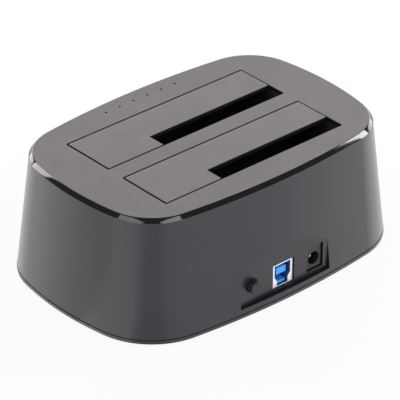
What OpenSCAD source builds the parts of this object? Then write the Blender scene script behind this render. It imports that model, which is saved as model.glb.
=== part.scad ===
// Dual-bay hard drive docking station: a bowed, drafted housing with two sprung flaps over its wells.
// Millimetres. Z is up from the surface that the feet stand on, the ports face -Y, the lights +Y.

/* [Housing] */
// Length of the flat top face
top_len = 148; // [142:0.5:170]
// Depth of the flat top face
top_depth = 97.5; // [95:0.5:115]
// Radius in plan of the two bowed long sides
side_bow = 386; // [300:2:700]
// Radius in plan of the two bowed ends
end_bow = 140; // [115:1:260]
// Corner radius in plan
corner_r = 24.8; // [21:0.2:28]
// Height from the underside of the base plate to the top face
body_h = 58.6; // [57:0.1:66]
// Width of the polished chamfer round the top face
chamfer_w = 1.7; // [0.8:0.1:2.5]
// Height of the polished chamfer round the top face
chamfer_h = 1.9; // [0.8:0.1:2]
// Outward spread of the walls from the chamfer down to the base
wall_draft = 6.4; // [3:0.1:9]
// Thickness of the side walls
wall_t = 2.2; // [1.6:0.1:3]
// Thickness of the top deck
deck_t = 2.2; // [2.1:0.1:2.8]
// Radius of the screw bosses
boss_r = 3.5; // [3:0.1:4]
// Distance of a screw boss across the depth from the centre of its corner
boss_out = 13; // [12:0.5:14]
// Gap between a screw boss and the end of a cradle
boss_gap = 2.9; // [1:0.1:4]

/* [Base] */
// Thickness of the base plate, seen as a thin rim under the seam
base_t = 1.9; // [1.7:0.1:2.2]
// How far the base rim stands in from the wall
base_inset = 0; // [0:0.1:1]
// Height of the shadow line between the base rim and the housing
seam_h = 0.4; // [0.3:0.1:0.7]
// Depth of that shadow line
seam_in = 0.7; // [0.4:0.1:1]
// Height of the lip that locates the housing on the base
lip_h = 3; // [2:0.5:4]
// Thickness of that lip
lip_t = 1.4; // [1:0.1:2]
// Diameter of a rubber foot
foot_d = 12; // [8:0.5:14]
// Height of a foot below the base plate
foot_h = 1.2; // [0.8:0.1:2]
// Depth of the pocket that a foot is glued into
foot_sink = 0.6; // [0.4:0.1:0.8]
// Distance of a foot from the centre of its corner
foot_out = 22; // [20:0.5:23]
// Height of the cup that a base screw sits in
cup_h = 4.5; // [4:0.1:6]

/* [Bays] */
// Length of a bay opening
bay_len = 103; // [102.5:0.1:105]
// Width of a bay opening
bay_w = 28.9; // [27.5:0.1:29.4]
// Shift of the pair of bays towards the lights
bay_shift = -1.5; // [-3:0.1:0]
// Corner radius of a bay opening
bay_corner_r = 0.8; // [0.5:0.1:1.5]
// Length of the small-drive slot left open by a flap
slot_len = 70.9; // [70.2:0.1:73]
// Width of the small-drive slot
slot_w = 9.95; // [9.8:0.05:12]
// Depth of the drive seat below the top of its connector
seat_depth = 4.9; // [4.5:0.1:5.5]

/* [Flaps] */
// Thickness of a flap
flap_t = 1.8; // [1.5:0.1:2]
// Gap round a flap
flap_gap = 0.65; // [0.3:0.05:0.8]
// Sideways set of a flap in its opening
flap_shift = 0.2; // [0:0.05:0.25]
// Depth of the ribs under a flap
rib_h = 0.9; // [0.6:0.1:1.1]
// Thickness of the ribs under a flap
rib_t = 1.2; // [0.8:0.1:2]
// Diameter of the hinge pin
pin_d = 2; // [1.6:0.1:2.2]
// Radial running clearance on the hinge pin
pin_clear = 0.06; // [0.03:0.01:0.1]
// Wall of a hinge knuckle round the pin
knuckle_wall = 0.9; // [0.8:0.1:1.1]
// Length of a hinge knuckle
knuckle_len = 8; // [5:0.5:10]
// Reach of a hinge arm under the flap
arm_reach = 3.4; // [2.5:0.1:5]
// Wire diameter of the closing spring
spring_wire = 0.4; // [0.3:0.05:0.45]
// Turns of the closing spring
spring_turns = 6; // [3:1:8]
// Pitch of the closing spring
spring_pitch = 0.9; // [0.9:0.05:1.1]

/* [Cradles] */
// Wall thickness of a drive cradle
cradle_t = 1.6; // [1.2:0.1:1.7]
// Clearance from a bay opening to its cradle wall
cradle_clear = 0.2; // [0.1:0.05:0.25]
// Gap between the two cradles, which sets the distance between the bays
cradle_gap = 0.2; // [0.1:0.1:2]
// Thickness of a cradle floor
floor_t = 1.5; // [1.2:0.1:2]
// Width of the tab that fixes a cradle
tab_w = 8; // [7:0.5:10]
// Thickness of that tab
tab_t = 2; // [1.5:0.1:3]
// Length of the boss that a tab is screwed to
tab_boss_h = 5; // [4:0.5:8]

/* [Board] */
// Height of the underside of the main board above the underside of the base plate
board_z = 18.1; // [18.1:0.1:18.6]
// Thickness of the main board
board_t = 1.6; // [1:0.1:1.8]
// Left edge of the main board
board_left = -27; // [-30:0.5:-25]
// Right edge of the main board
board_right = 50; // [49:0.5:53]
// Front edge of the main board, on the side of the lights
board_front = 21; // [20:0.5:24]
// Half width of the tongue of the main board that carries the ports
tongue_half = 27; // [26:0.5:28]
// Depth of that tongue
tongue_d = 7; // [6:0.5:9]
// Radius of a post that carries the main board
post_r = 3; // [2.5:0.1:3.5]
// Length of a drive connector
sata_len = 40; // [39:0.5:42]
// Width of a drive connector
sata_w = 6.8; // [6:0.1:7]
// Height of a drive connector above the board
sata_h = 8.6; // [8:0.1:9]
// Distance of the middle of a drive connector from the end of the bay
sata_from_end = 30.6; // [30:0.1:31.5]
// Distance of the middle of a drive connector from the edge of the bay
sata_from_edge = 3.7; // [3.6:0.1:4]

/* [Ports] */
// Width of the sunk port panel
panel_w = 52.4; // [50:0.2:56]
// Height of the ledge under the port panel above the underside of the base plate
ledge_z = 4.3; // [4:0.1:4.8]
// Depth of the port panel behind the wall, at the middle of the ledge
panel_depth = 2.46; // [2:0.02:3]
// Thickness of the port panel
panel_t = 2; // [1.5:0.1:2.5]
// Distance from the middle port to the port or button on each side
port_pitch = 18.5; // [17.5:0.1:19]
// Depth of the port faces behind the panel face
port_recess = 0.9; // [0.5:0.1:1.2]
// Gap between a port and its cut-out
port_gap = 0.3; // [0.2:0.05:0.4]
// Width of the USB shell
usb_w = 11.8; // [11.5:0.1:12.5]
// Height of the USB shell
usb_h = 11.8; // [11.6:0.1:12]
// Length of the USB shell
usb_len = 17; // [15:0.5:19]
// Height of the middle of the USB shell above the underside of the base plate
usb_z = 11.3; // [11.2:0.1:11.6]
// Width of the power jack
jack_w = 9; // [8.5:0.1:10]
// Length of the power jack
jack_len = 14; // [12:0.5:15]
// Diameter of the power jack's socket
jack_bore = 6.3; // [5.8:0.1:6.6]
// Diameter of the power jack's centre pin
jack_pin_d = 2; // [1.6:0.1:2.5]
// Height of the power jack's socket above the underside of the base plate
jack_z = 11.5; // [11:0.1:12]
// Height of the power jack below the middle of its socket
jack_drop = 4.9; // [4.4:0.1:5.2]

/* [Button] */
// Diameter of the power button
button_d = 6.2; // [5:0.1:7]
// How far the power button stands out of the panel
button_proud = 3.2; // [2.5:0.1:4]
// Height of the power button above the underside of the base plate
button_z = 13; // [12.5:0.1:13.4]
// Travel of the power button
button_travel = 1.5; // [1:0.1:2]
// Gap round the power button
button_gap = 0.25; // [0.2:0.05:0.4]
// Width and height of the push switch
switch_w = 8.5; // [7:0.1:9]
// Length of the push switch
switch_len = 12; // [10:0.5:13]

/* [Lights] */
// Number of status lights
light_count = 6; // [2:1:6]
// Spacing of the status lights
light_pitch = 8.07; // [6:0.01:8.5]
// Distance of the row of lights from the nearer bay
light_back = 10; // [9.5:0.1:11]
// Diameter of a light guide pin
light_d = 1.3; // [0.8:0.1:1.8]
// Thickness of the light guide's bar
guide_t = 2.4; // [1.5:0.1:3]
// Length of the light board
light_board_len = 66; // [64:1:72]
// Thickness of the light board
light_board_t = 1; // [0.8:0.1:1.6]
// Gap between the light board and the wall
light_board_gap = 1.3; // [0.5:0.1:2]

/* [Fits] */
// Gap between fixed pieces that fit into each other
fit = 0.05; // [0.02:0.01:0.1]
// Gap between pieces that move past each other
run = 0.3; // [0.25:0.05:0.4]

/* [Hidden] */
$fn = 48;
bow_fn = 180;
slack = 1;

// Heights
base_z = foot_h;
seam_z = base_z + base_t;
top_z = base_z + body_h;
edge_z = top_z - chamfer_h;
deck_z = top_z - deck_t;
under_board_z = base_z + board_z;
board_top_z = under_board_z + board_t;
seat_z = board_top_z + sata_h - seat_depth;
cup_z = base_z + cup_h;

// Plan outline: two bows and a corner arc meet tangentially, and offsets keep their centres
function unit(v) = v / norm(v);
function flip_x(p) = [-p[0], p[1]];
function flip_y(p) = [p[0], -p[1]];
function circles_meet(p, rp, q, rq) =
    let (d = norm(q - p), e = (q - p) / d, a = (rp * rp - rq * rq + d * d) / (2 * d))
    p + a * e + sqrt(rp * rp - a * a) * [e[1], -e[0]];
side_at = [0, top_depth / 2 - side_bow];
end_at = [top_len / 2 - end_bow, 0];
corner_at = circles_meet(side_at, side_bow - corner_r, end_at, end_bow - corner_r);
side_dir = unit(corner_at - side_at);
end_dir = unit(corner_at - end_at);
foot_at = corner_at + foot_out * side_dir;
sector_reach = 2 * corner_r + chamfer_w + wall_draft;
corner_lap = 0.05;

// Outward offset of the wall at a height, and the inner face of a long side there
function wall_offset(z) = chamfer_w + wall_draft * (edge_z - z) / (edge_z - base_z);
function wall_in_y(x, z) = side_at[1] + sqrt(pow(side_bow + wall_offset(z) - wall_t, 2) - x * x);

// Bays and hinges
slot_x = bay_len / 2 - slot_len;
knuckle_r = pin_d / 2 + knuckle_wall;
knuckle_clear = 0.4;
hinge_drop = deck_t + knuckle_clear + knuckle_r;
hinge_back = hinge_drop + run;
hinge_z = top_z - hinge_drop;
hinge_y = bay_w / 2 + hinge_back;
ear_half = 1.5;
rib_end = 2;
window_end = 3;
arm_end = hinge_back + flap_gap + arm_reach;
knuckle_at = [for (s = [-1, 1], k = [0.86, 0.27]) s * k * bay_len / 2];
spring_x = knuckle_at[0] + knuckle_len / 2 + 2 * run;
spring_r = pin_d / 2 + spring_wire / 2 + run;
pocket_y = hinge_y - (hinge_drop - flap_t - rib_h - knuckle_clear);
cradle_front = -bay_w / 2 - cradle_clear;
cradle_back = hinge_y + knuckle_r + knuckle_clear;
cradle_half = bay_len / 2 + cradle_clear;
bay_pitch = cradle_back - cradle_front + cradle_t + cradle_gap;
front_bay_y = bay_shift + bay_pitch / 2;
rear_bay_y = bay_shift - bay_pitch / 2;
flap_r = norm([hinge_back + bay_w - flap_gap, hinge_drop]);
sweep_y = hinge_y - sqrt(max(0, pow(flap_r, 2) - pow(hinge_z - seat_z, 2))) - run;
boss_at = [cradle_half + cradle_t + boss_gap + boss_r, corner_at[1] + boss_out];
back_wall_z = hinge_z - arm_end - run;
tab_x = cradle_half + cradle_t + tab_w / 2 + run;
tab_z = deck_z - tab_boss_h;
sata_x = bay_len / 2 - sata_from_end;
sata_y = -bay_w / 2 + sata_from_edge;

// Ports
panel_y = panel_depth - top_depth / 2 - wall_offset(base_z + ledge_z);
panel_in_y = panel_y + panel_t;
port_y = panel_y + port_recess;
ledge_top_z = base_z + ledge_z;
usb_at = base_z + usb_z;
jack_at = base_z + jack_z;
button_at = base_z + button_z;
board_rear = panel_in_y + 2 * run;
jack_low = jack_at - jack_drop;
button_edge = 0.35;
flange_t = 1.2;
flange_out = 1.1;
flange_y = panel_in_y + run / 2;
button_tail = flange_y + flange_t + 3.5;
switch_y = button_tail + button_travel + run;
plunger_w = 3;
plunger_in = 4.5;
switch_pin_x = 2.2;
switch_pin_w = 0.8;
switch_pin_t = 0.6;

// Lights
light_y = front_bay_y + bay_w / 2 + light_back;
light_half = (light_count - 1) * light_pitch / 2;
led_h = 0.7;
light_board_z = deck_z - guide_t - run - led_h - light_board_t;
light_board_in = 2.4;
light_board_y0 = light_y - light_board_in;
light_board_y1 = wall_in_y(light_board_len / 2, light_board_z + light_board_t) - light_board_gap;
light_board_mid = (light_board_y0 + light_board_y1) / 2;
light_screw_in = 4;
light_screw_x = light_board_len / 2 - light_screw_in;
led_w = 1.6;
led_d = 0.8;
led_lens_w = 1;
guide_w = 3.2;
guide_end = 2.5;
ribbon_x = -13;
ribbon_w = 8;
ribbon_t = 0.4;
ribbon_y = light_board_mid;
ribbon_bend = 2;
socket_d = 4;
socket_h = 1.6;
socket_end = 1;

// Screws: shank radius, head radius and head height from the shank diameter
function screw_sizes(d) = [d / 2, 1.12 * d, 0.72 * d];
base_screw_d = 2.5;
base_screw_len = 12;
board_screw_d = 2;
board_screw_len = 7;
cradle_screw_d = 2.1;
cradle_screw_len = 6;
light_screw_d = 1.4;
light_screw_len = 3.5;
base_screw = screw_sizes(base_screw_d);
board_screw = screw_sizes(board_screw_d);
cradle_screw = screw_sizes(cradle_screw_d);
light_screw = screw_sizes(light_screw_d);
screw_wall = 0.6;
drive_slot_w = 0.4;
cup_wall = 0.7;
cup_roof = 1.5;
lip_gap = 3 * fit;
post_in = 4;
left_post_y = -24;
right_post_y = -40;
post_at = [[board_left + post_in, left_post_y], [board_left + post_in, board_front - post_in],
    [board_right - post_in, right_post_y], [board_right - post_in, board_front - post_in]];

// Colours
shell_grey = [0.16, 0.16, 0.17];
inner_black = [0.06, 0.06, 0.065];
steel = [0.75, 0.76, 0.78];
gold = [0.85, 0.68, 0.3];

// General shapes

// A drafted sector of a bow, from one offset to another
module bow_cone(at, r, o0, o1, z0, z1) {
    translate([at[0], at[1], z0])
        cylinder(r1 = r + o0, r2 = r + o1, h = z1 - z0, $fn = bow_fn);
}

module prism(points, z0, z1) {
    translate([0, 0, z0])
        linear_extrude(z1 - z0)
            polygon(points);
}

// A bowed block: sides, ends and corners as exact sectors, joined by the body that lies within them
module bowed_block(o0, o1, z0, z1) {
    end_end = corner_at + sector_reach * end_dir;
    side_end = corner_at + sector_reach * side_dir;
    far = corner_at + sector_reach * (side_dir + end_dir);
    bowed_body(o0, o1, z0, z1);
    for (m = [0, 1], n = [0, 1])
        mirror([m, 0, 0])
            mirror([0, n, 0])
                intersection() {
                    bow_cone(corner_at, corner_r, o0, o1, z0, z1);
                    prism([corner_at, end_end, far, side_end], z0, z1);
                }
}

// The bowed outline with its corners set in by a hair, so that the sides and ends run into them
module bowed_body(o0, o1, z0, z1) {
    side_end = corner_at + sector_reach * side_dir;
    end_end = corner_at + sector_reach * end_dir;
    core = corner_at + corner_r / 2 * [1, 1];
    prism([core, flip_x(core), -core, flip_y(core)], z0, z1);
    for (m = [0, 1])
        mirror([0, m, 0])
            intersection() {
                bow_cone(side_at, side_bow, o0, o1, z0, z1);
                prism([flip_x(corner_at), corner_at, side_end, flip_x(side_end)], z0, z1);
            }
    for (m = [0, 1])
        mirror([m, 0, 0])
            intersection() {
                bow_cone(end_at, end_bow, o0, o1, z0, z1);
                prism([flip_y(corner_at), flip_y(end_end), end_end, corner_at], z0, z1);
            }
    at_corners(corner_at)
        bow_cone([0, 0], corner_r - corner_lap, o0, o1, z0, z1);
}

// The bowed block that follows the wall, in from its outer face
module wall_block(inset, z0, z1) {
    bowed_block(wall_offset(z0) - inset, wall_offset(z1) - inset, z0, z1);
}

// The hollow inside the wall, in from its outer face
module wall_hollow(inset, z0, z1) {
    bowed_body(wall_offset(z0) - inset, wall_offset(z1) - inset, z0, z1);
}

module box(x0, x1, y0, y1, z0, z1) {
    translate([x0, y0, z0])
        cube([x1 - x0, y1 - y0, z1 - z0]);
}

module rod(r, at, z0, z1) {
    translate([at[0], at[1], z0])
        cylinder(r = r, h = z1 - z0);
}

// A cylinder along Y
module rod_y(r, x, z, y0, y1) {
    translate([x, y0, z])
        rotate([-90, 0, 0])
            cylinder(r = r, h = y1 - y0);
}

// A cylinder along X
module rod_x(r, y, z, x0, x1) {
    translate([x0, y, z])
        rotate([0, 90, 0])
            cylinder(r = r, h = x1 - x0);
}

module rounded_rect(x0, x1, y0, y1, r) {
    translate([x0 + r, y0])
        square([x1 - x0 - 2 * r, y1 - y0]);
    translate([x0, y0 + r])
        square([x1 - x0, y1 - y0 - 2 * r]);
    for (x = [x0 + r, x1 - r], y = [y0 + r, y1 - r])
        translate([x, y])
            circle(r);
}

module at_corners(p) {
    for (m = [0, 1], n = [0, 1])
        mirror([m, 0, 0])
            mirror([0, n, 0])
                translate([p[0], p[1], 0])
                    children();
}

// A pan-head screw along Z with its bearing face at height z; up is 1 when the shank points up
module screw(size, len, z, up) {
    translate([0, 0, z])
        mirror([0, 0, up > 0 ? 0 : 1]) {
            cylinder(r = size[0], h = len);
            difference() {
                translate([0, 0, -size[2]])
                    cylinder(r1 = 0.85 * size[1], r2 = size[1], h = size[2]);
                for (a = [0, 90])
                    rotate(a)
                        box(-0.62 * size[1], 0.62 * size[1], -drive_slot_w / 2, drive_slot_w / 2,
                            -size[2] - slack, -size[2] / 2);
            }
        }
}

// A tube of six sides swept along points that stay clear of the X direction
function tangent(p, i) = unit(p[min(i + 1, len(p) - 1)] - p[max(i - 1, 0)]);
function ring(p, i, r, sides) =
    let (t = tangent(p, i), n = unit(cross(t, [1, 0, 0])), b = cross(t, n))
    [for (k = [0:sides - 1]) p[i] + r * (cos(360 * k / sides) * n + sin(360 * k / sides) * b)];
module wire(p, r, sides = 6) {
    rings = len(p);
    points = [for (i = [0:rings - 1]) each ring(p, i, r, sides)];
    walls = [for (i = [0:rings - 2], k = [0:sides - 1])
        let (a = i * sides + k, b = i * sides + (k + 1) % sides)
        each [[a, b, b + sides], [a, b + sides, a + sides]]];
    caps = [for (k = [1:sides - 2]) each [[0, k + 1, k],
        [(rings - 1) * sides, (rings - 1) * sides + k, (rings - 1) * sides + k + 1]]];
    polyhedron(points = points, faces = concat(walls, caps));
}

// Housing

module bay_opening(y) {
    translate([0, y, deck_z - slack])
        linear_extrude(deck_t + 2 * slack)
            rounded_rect(-bay_len / 2, bay_len / 2, -bay_w / 2, bay_w / 2, bay_corner_r);
}

// Solid behind the port panel, inside the wall
module panel_backing() {
    half = panel_w / 2 + wall_t;
    intersection() {
        wall_block(0, seam_z, edge_z);
        box(-half, half, -top_depth, panel_in_y, seam_z, deck_z);
    }
}

// The flat cut that forms the panel, deep at its ledge and running out higher up the drafted wall
module panel_cut() {
    box(-panel_w / 2, panel_w / 2, -top_depth, panel_y, ledge_top_z, top_z);
}

module port_holes() {
    box(-usb_w / 2 - port_gap, usb_w / 2 + port_gap, panel_y - slack, panel_in_y + slack,
        usb_at - usb_h / 2 - port_gap, usb_at + usb_h / 2 + port_gap);
    box(port_pitch - jack_w / 2 - port_gap, port_pitch + jack_w / 2 + port_gap, panel_y - slack,
        panel_in_y + slack, jack_low - port_gap, under_board_z + port_gap);
    rod_y(button_d / 2 + button_gap, -port_pitch, button_at, panel_y - slack, panel_in_y + slack);
}

module housing_bosses() {
    at_corners(boss_at)
        difference() {
            rod(boss_r, [0, 0], cup_z, deck_z + slack / 2);
            rod(base_screw[0] + fit, [0, 0], cup_z - slack, cup_z + base_screw_len);
        }
    for (x = [-tab_x, tab_x], y = [front_bay_y, rear_bay_y])
        difference() {
            rod(cradle_screw[1] + screw_wall, [x, y], tab_z, deck_z + slack / 2);
            rod(cradle_screw[0] + fit, [x, y], tab_z - slack, tab_z + cradle_screw_len - tab_t + run);
        }
    for (x = [-light_screw_x, light_screw_x])
        difference() {
            rod(light_screw[1] + screw_wall, [x, light_board_mid], light_board_z + light_board_t,
                deck_z + slack / 2);
            rod(light_screw[0] + fit, [x, light_board_mid], light_board_z,
                light_board_z + light_screw_len + run);
        }
}

module upper_housing() {
    color(shell_grey) {
        difference() {
            union() {
                difference() {
                    union() {
                        wall_block(0, seam_z, edge_z);
                        bowed_block(chamfer_w, 0, edge_z, top_z);
                    }
                    wall_hollow(wall_t, seam_z - slack, deck_z);
                }
                panel_backing();
            }
            panel_cut();
            port_holes();
            bay_opening(front_bay_y);
            bay_opening(rear_bay_y);
            for (i = [0:light_count - 1])
                rod(light_d / 2 + fit, [i * light_pitch - light_half, light_y], deck_z - slack,
                    top_z + slack);
        }
        housing_bosses();
    }
}

// Base

module base_lip() {
    half = panel_w / 2 + wall_t + run;
    difference() {
        wall_block(wall_t + lip_gap, seam_z - base_t / 2, seam_z + lip_h);
        wall_hollow(wall_t + lip_gap + lip_t, seam_z - slack, seam_z + lip_h + slack);
        box(-half, half, -top_depth, panel_in_y + lip_t, seam_z - slack, seam_z + lip_h + slack);
    }
}

module base_plate() {
    rim = wall_offset(base_z) - base_inset;
    color(shell_grey)
        difference() {
            union() {
                bowed_block(rim, rim, base_z, seam_z - seam_h);
                wall_block(seam_in, seam_z - base_t / 2, seam_z);
                base_lip();
                at_corners(boss_at)
                    rod(boss_r + cup_wall, [0, 0], base_z, cup_z);
                for (p = post_at)
                    rod(post_r, p, seam_z - base_t / 2, under_board_z);
            }
            at_corners(boss_at) {
                rod(base_screw[1] + run, [0, 0], base_z - slack, cup_z - cup_roof);
                rod(base_screw[0] + run, [0, 0], base_z - slack, cup_z + slack);
            }
            at_corners(foot_at)
                rod(foot_d / 2 + 2 * fit, [0, 0], base_z - slack, base_z + foot_sink);
            for (p = post_at)
                rod(board_screw[0] + fit, p, board_top_z - board_screw_len - run, under_board_z + slack);
        }
}

// A foot is a turned pad with a rounded lower edge
module foot(sx, sy) {
    edge = foot_h / 3;
    color([0.05, 0.05, 0.05])
        translate([sx * foot_at[0], sy * foot_at[1], 0])
            rotate_extrude()
                polygon([[0, 0], [foot_d / 2 - edge, 0], [foot_d / 2, edge],
                    [foot_d / 2, base_z + foot_sink], [0, base_z + foot_sink]]);
}

module base_screws() {
    color(steel)
        at_corners(boss_at)
            screw(base_screw, base_screw_len, cup_z - cup_roof, 1);
}

// Drive cradles

// The openings in a cradle's floor, for its drive connector and for the sweep of the flap's wide end
module floor_openings() {
    half = sata_len / 2 + window_end;
    box(sata_x - half, sata_x + half, cradle_front, sata_y + sata_w / 2 + run, seat_z - floor_t - slack,
        seat_z + slack);
    box(-cradle_half, slot_x + run, sweep_y, bay_w / 2, seat_z - floor_t - slack, seat_z + slack);
}

module cradle(y) {
    out_x = cradle_half + cradle_t;
    low = seat_z - floor_t;
    color(inner_black)
        translate([0, y, 0])
            difference() {
                union() {
                    box(-out_x, out_x, cradle_front - cradle_t, cradle_front, low, deck_z);
                    for (m = [0, 1])
                        mirror([m, 0, 0]) {
                            box(cradle_half, out_x, cradle_front - cradle_t, cradle_back, low, deck_z);
                            box(out_x - cradle_t / 2, tab_x + tab_w / 2, -tab_w / 2, tab_w / 2,
                                tab_z - tab_t, tab_z);
                        }
                    box(-out_x, out_x, pocket_y, pocket_y + cradle_t, low, back_wall_z);
                    box(-out_x, out_x, cradle_front - cradle_t, bay_w / 2 - hinge_drop / 2, low, seat_z);
                    box(-ear_half, ear_half, pocket_y, pocket_y + cradle_t, back_wall_z - slack, hinge_z);
                    box(-ear_half, ear_half, pocket_y, hinge_y + knuckle_r, hinge_z - knuckle_r,
                        hinge_z + knuckle_r);
                }
                floor_openings();
                rod_x(pin_d / 2 + fit, hinge_y, hinge_z, -out_x - slack, out_x + slack);
                for (x = [-tab_x, tab_x])
                    rod(cradle_screw[0] + run / 2, [x, 0], tab_z - tab_t - slack, tab_z + slack);
            }
}

module cradle_screws() {
    color(steel)
        for (x = [-tab_x, tab_x], y = [front_bay_y, rear_bay_y])
            translate([x, y, 0])
                screw(cradle_screw, cradle_screw_len, tab_z - tab_t, 1);
}

// Flaps

// An arm from the flap's back edge down and under the deck to its knuckle
module hinge_arm(x) {
    step = hinge_back + flap_gap;
    over = hinge_drop - flap_t;
    under_deck = hinge_drop - deck_t - run / 2;
    translate([x - knuckle_len / 2, hinge_y, hinge_z])
        rotate([90, 0, 90])
            linear_extrude(knuckle_len) {
                polygon([[-arm_end, over], [-step, over], [-step, under_deck], [0, knuckle_r],
                    [0, -knuckle_r], [-step / 2, -knuckle_r * 0.7], [-arm_end, over - rib_h]]);
                circle(knuckle_r);
            }
}

module flap_plate() {
    half = bay_len / 2 - flap_gap;
    depth = bay_w / 2 - flap_gap;
    translate([0, 0, top_z - flap_t])
        linear_extrude(flap_t)
            difference() {
                rounded_rect(flap_shift - half, flap_shift + half, -depth, depth, bay_corner_r - flap_gap / 2);
                translate([slot_x, -bay_w / 2 - slack])
                    square([slot_len + slack, slot_w + slack]);
            }
}

module flap(y) {
    rib_z = top_z - flap_t - rib_h;
    color(shell_grey)
        translate([0, y, 0])
            difference() {
                union() {
                    flap_plate();
                    for (x = knuckle_at) {
                        hinge_arm(x);
                        front = rib_end - bay_w / 2 + (x < slot_x ? 0 : slot_w);
                        box(x - rib_t / 2, x + rib_t / 2, front, bay_w / 2 - flap_gap - arm_reach + slack,
                            rib_z, top_z - flap_t + slack / 2);
                    }
                }
                for (x = knuckle_at)
                    rod_x(pin_d / 2 + pin_clear, hinge_y, hinge_z, x - knuckle_len, x + knuckle_len);
            }
}

module hinge_pin(y) {
    color(steel)
        translate([0, y, 0])
            rod_x(pin_d / 2, hinge_y, hinge_z, -cradle_half - cradle_t, cradle_half + cradle_t);
}

// A torsion spring on the pin: one leg lies in the pocket, the other lifts the flap
leg_clear = spring_wire / 2 + run;
leg_len = 4;
leg_tip = 3;
leg_rise = 0.4;
coil_steps = 8;
coil = [for (i = [0:coil_steps * (spring_turns + 0.75)])
    let (a = 180 - 360 * i / coil_steps)
    [spring_x + i * spring_pitch / coil_steps, spring_r * cos(a), spring_r * sin(a)]];
fixed_leg_y = pocket_y - hinge_y - leg_clear;
fixed_leg = [for (k = [1, 0.6, 0.25])
    [spring_x, min(fixed_leg_y, -spring_r), k * (back_wall_z - hinge_z - leg_len)]];
coil_end_x = spring_x + (spring_turns + 0.75) * spring_pitch;
lift_leg = [[coil_end_x, -hinge_back / 2, -spring_r * 0.7],
    [coil_end_x, -arm_end, hinge_drop - flap_t - leg_clear - leg_rise],
    [coil_end_x, -arm_end - leg_tip, hinge_drop - flap_t - leg_clear]];
spring_path = concat(fixed_leg, coil, lift_leg);
spring_gap = min([for (i = [0:len(coil) - 1], j = [i + coil_steps - 2:1:len(coil) - 1])
    norm(coil[i] - coil[j])]) - spring_wire;
echo(least_spring_gap = spring_gap);

module flap_spring(y) {
    color(steel)
        translate([0, y + hinge_y, hinge_z])
            wire(spring_path, spring_wire / 2);
}

// Main board and what is soldered to it

module main_board() {
    color([0.05, 0.28, 0.14])
        difference() {
            translate([0, 0, under_board_z])
                linear_extrude(board_t)
                    polygon([[board_left, board_rear + tongue_d], [-tongue_half, board_rear + tongue_d],
                        [-tongue_half, board_rear], [tongue_half, board_rear],
                        [tongue_half, board_rear + tongue_d], [board_right, board_rear + tongue_d],
                        [board_right, board_front], [board_left, board_front]]);
            for (p = post_at)
                rod(board_screw[0] + run / 2, p, under_board_z - slack, board_top_z + slack);
        }
}

module board_screws() {
    color(steel)
        for (p = post_at)
            translate([p[0], p[1], 0])
                screw(board_screw, board_screw_len, board_top_z, -1);
}

// Contact counts of the two keyed slots, their pitch and the gap that parts the slots
signal_contacts = 7;
power_contacts = 15;
contact_pitch = 1.27;
slot_key = 3.6;
contact_rows = [[signal_contacts, sata_x - (power_contacts * contact_pitch + slot_key) / 2],
    [power_contacts, sata_x + (signal_contacts * contact_pitch + slot_key) / 2]];
contact_slot_d = 5;
contact_slot_w = 1.6;
contact_slot_end = 0.4;
contact_w = 0.6;
contact_t = 0.3;
sata_step = 1.5;
sata_step_x = 2;
sata_step_y = 1;
sata_top_z = board_top_z + sata_h;
slot_floor_z = sata_top_z - contact_slot_d;

// A drive connector: a stepped block with one L-shaped slot for signals and one for power
module sata_connector(y) {
    half_len = sata_len / 2;
    top_half = half_len - sata_step_x;
    half_w = sata_w / 2;
    color(inner_black)
        translate([sata_x, y + sata_y, 0])
            difference() {
                union() {
                    box(-half_len, half_len, -half_w, half_w, board_top_z, sata_top_z - sata_step);
                    box(-top_half, top_half, -half_w + sata_step_y, half_w - sata_step_y, board_top_z,
                        sata_top_z);
                }
                for (c = contact_rows)
                    translate([c[1] - sata_x, 0, slot_floor_z])
                        contact_slot(c[0] * contact_pitch / 2 + contact_slot_end);
            }
}

// An L-shaped slot, from its floor up
module contact_slot(half) {
    box(-half, half, -contact_slot_w / 2, contact_slot_w / 2, 0, contact_slot_d + slack);
    box(-half, -half + contact_slot_w, 0, contact_slot_w + contact_slot_end, 0, contact_slot_d + slack);
}

module sata_contacts(y) {
    color(gold)
        for (c = contact_rows, i = [0:c[0] - 1])
            translate([c[1] + (i - (c[0] - 1) / 2) * contact_pitch, y + sata_y, slot_floor_z])
                box(-contact_w / 2, contact_w / 2, -contact_slot_w / 2, contact_t - contact_slot_w / 2, 0,
                    contact_slot_d - contact_w);
}

// Parts under the main board: their places, sizes and lead pitches
chip_x = 8;
chip_y = -12;
chip_h = 1.5;
chip_lift = 0.1;
lead_w = 0.24;
lead_t = 0.25;
lead_out = 0.9;
lead_in = 0.3;
bridge_w = 10;
bridge_leads = 16;
bridge_pitch = 0.5;
firmware_w = 5;
firmware_d = 4;
firmware_leads = 4;
firmware_pitch = 1.27;
crystal_y = 4;
crystal_w = 11;
crystal_d = 4.4;
crystal_h = 3.5;
inductor_x = 30;
inductor_w = 7;
inductor_base = 1;
inductor_d = 6.4;
inductor_h = 4;
capacitor_x = 40;
capacitor_step = 10;
capacitor_r = 3.15;
capacitor_h = 8;
capacitor_crown = 0.4;
capacitor_groove = 1.5;

// A flat chip under the board with leads along its sides
module chip(at, size, leads, lead_pitch, sides) {
    z = under_board_z;
    translate([at[0], at[1], 0]) {
        box(-size[0] / 2, size[0] / 2, -size[1] / 2, size[1] / 2, z - chip_h, z - chip_lift);
        for (a = [0:sides - 1], i = [0:leads - 1])
            rotate(a * 360 / sides)
                translate([(i - (leads - 1) / 2) * lead_pitch, -size[sides > 2 ? (a + 1) % 2 : 1] / 2, 0])
                    box(-lead_w / 2, lead_w / 2, -lead_out, lead_in, z - lead_t, z);
    }
}

module bridge_chip() {
    color(inner_black)
        chip([-chip_x, chip_y], [bridge_w, bridge_w], bridge_leads, bridge_pitch, 4);
}

module firmware_chip() {
    color(inner_black)
        chip([chip_x, chip_y], [firmware_w, firmware_d], firmware_leads, firmware_pitch, 2);
}

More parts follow.
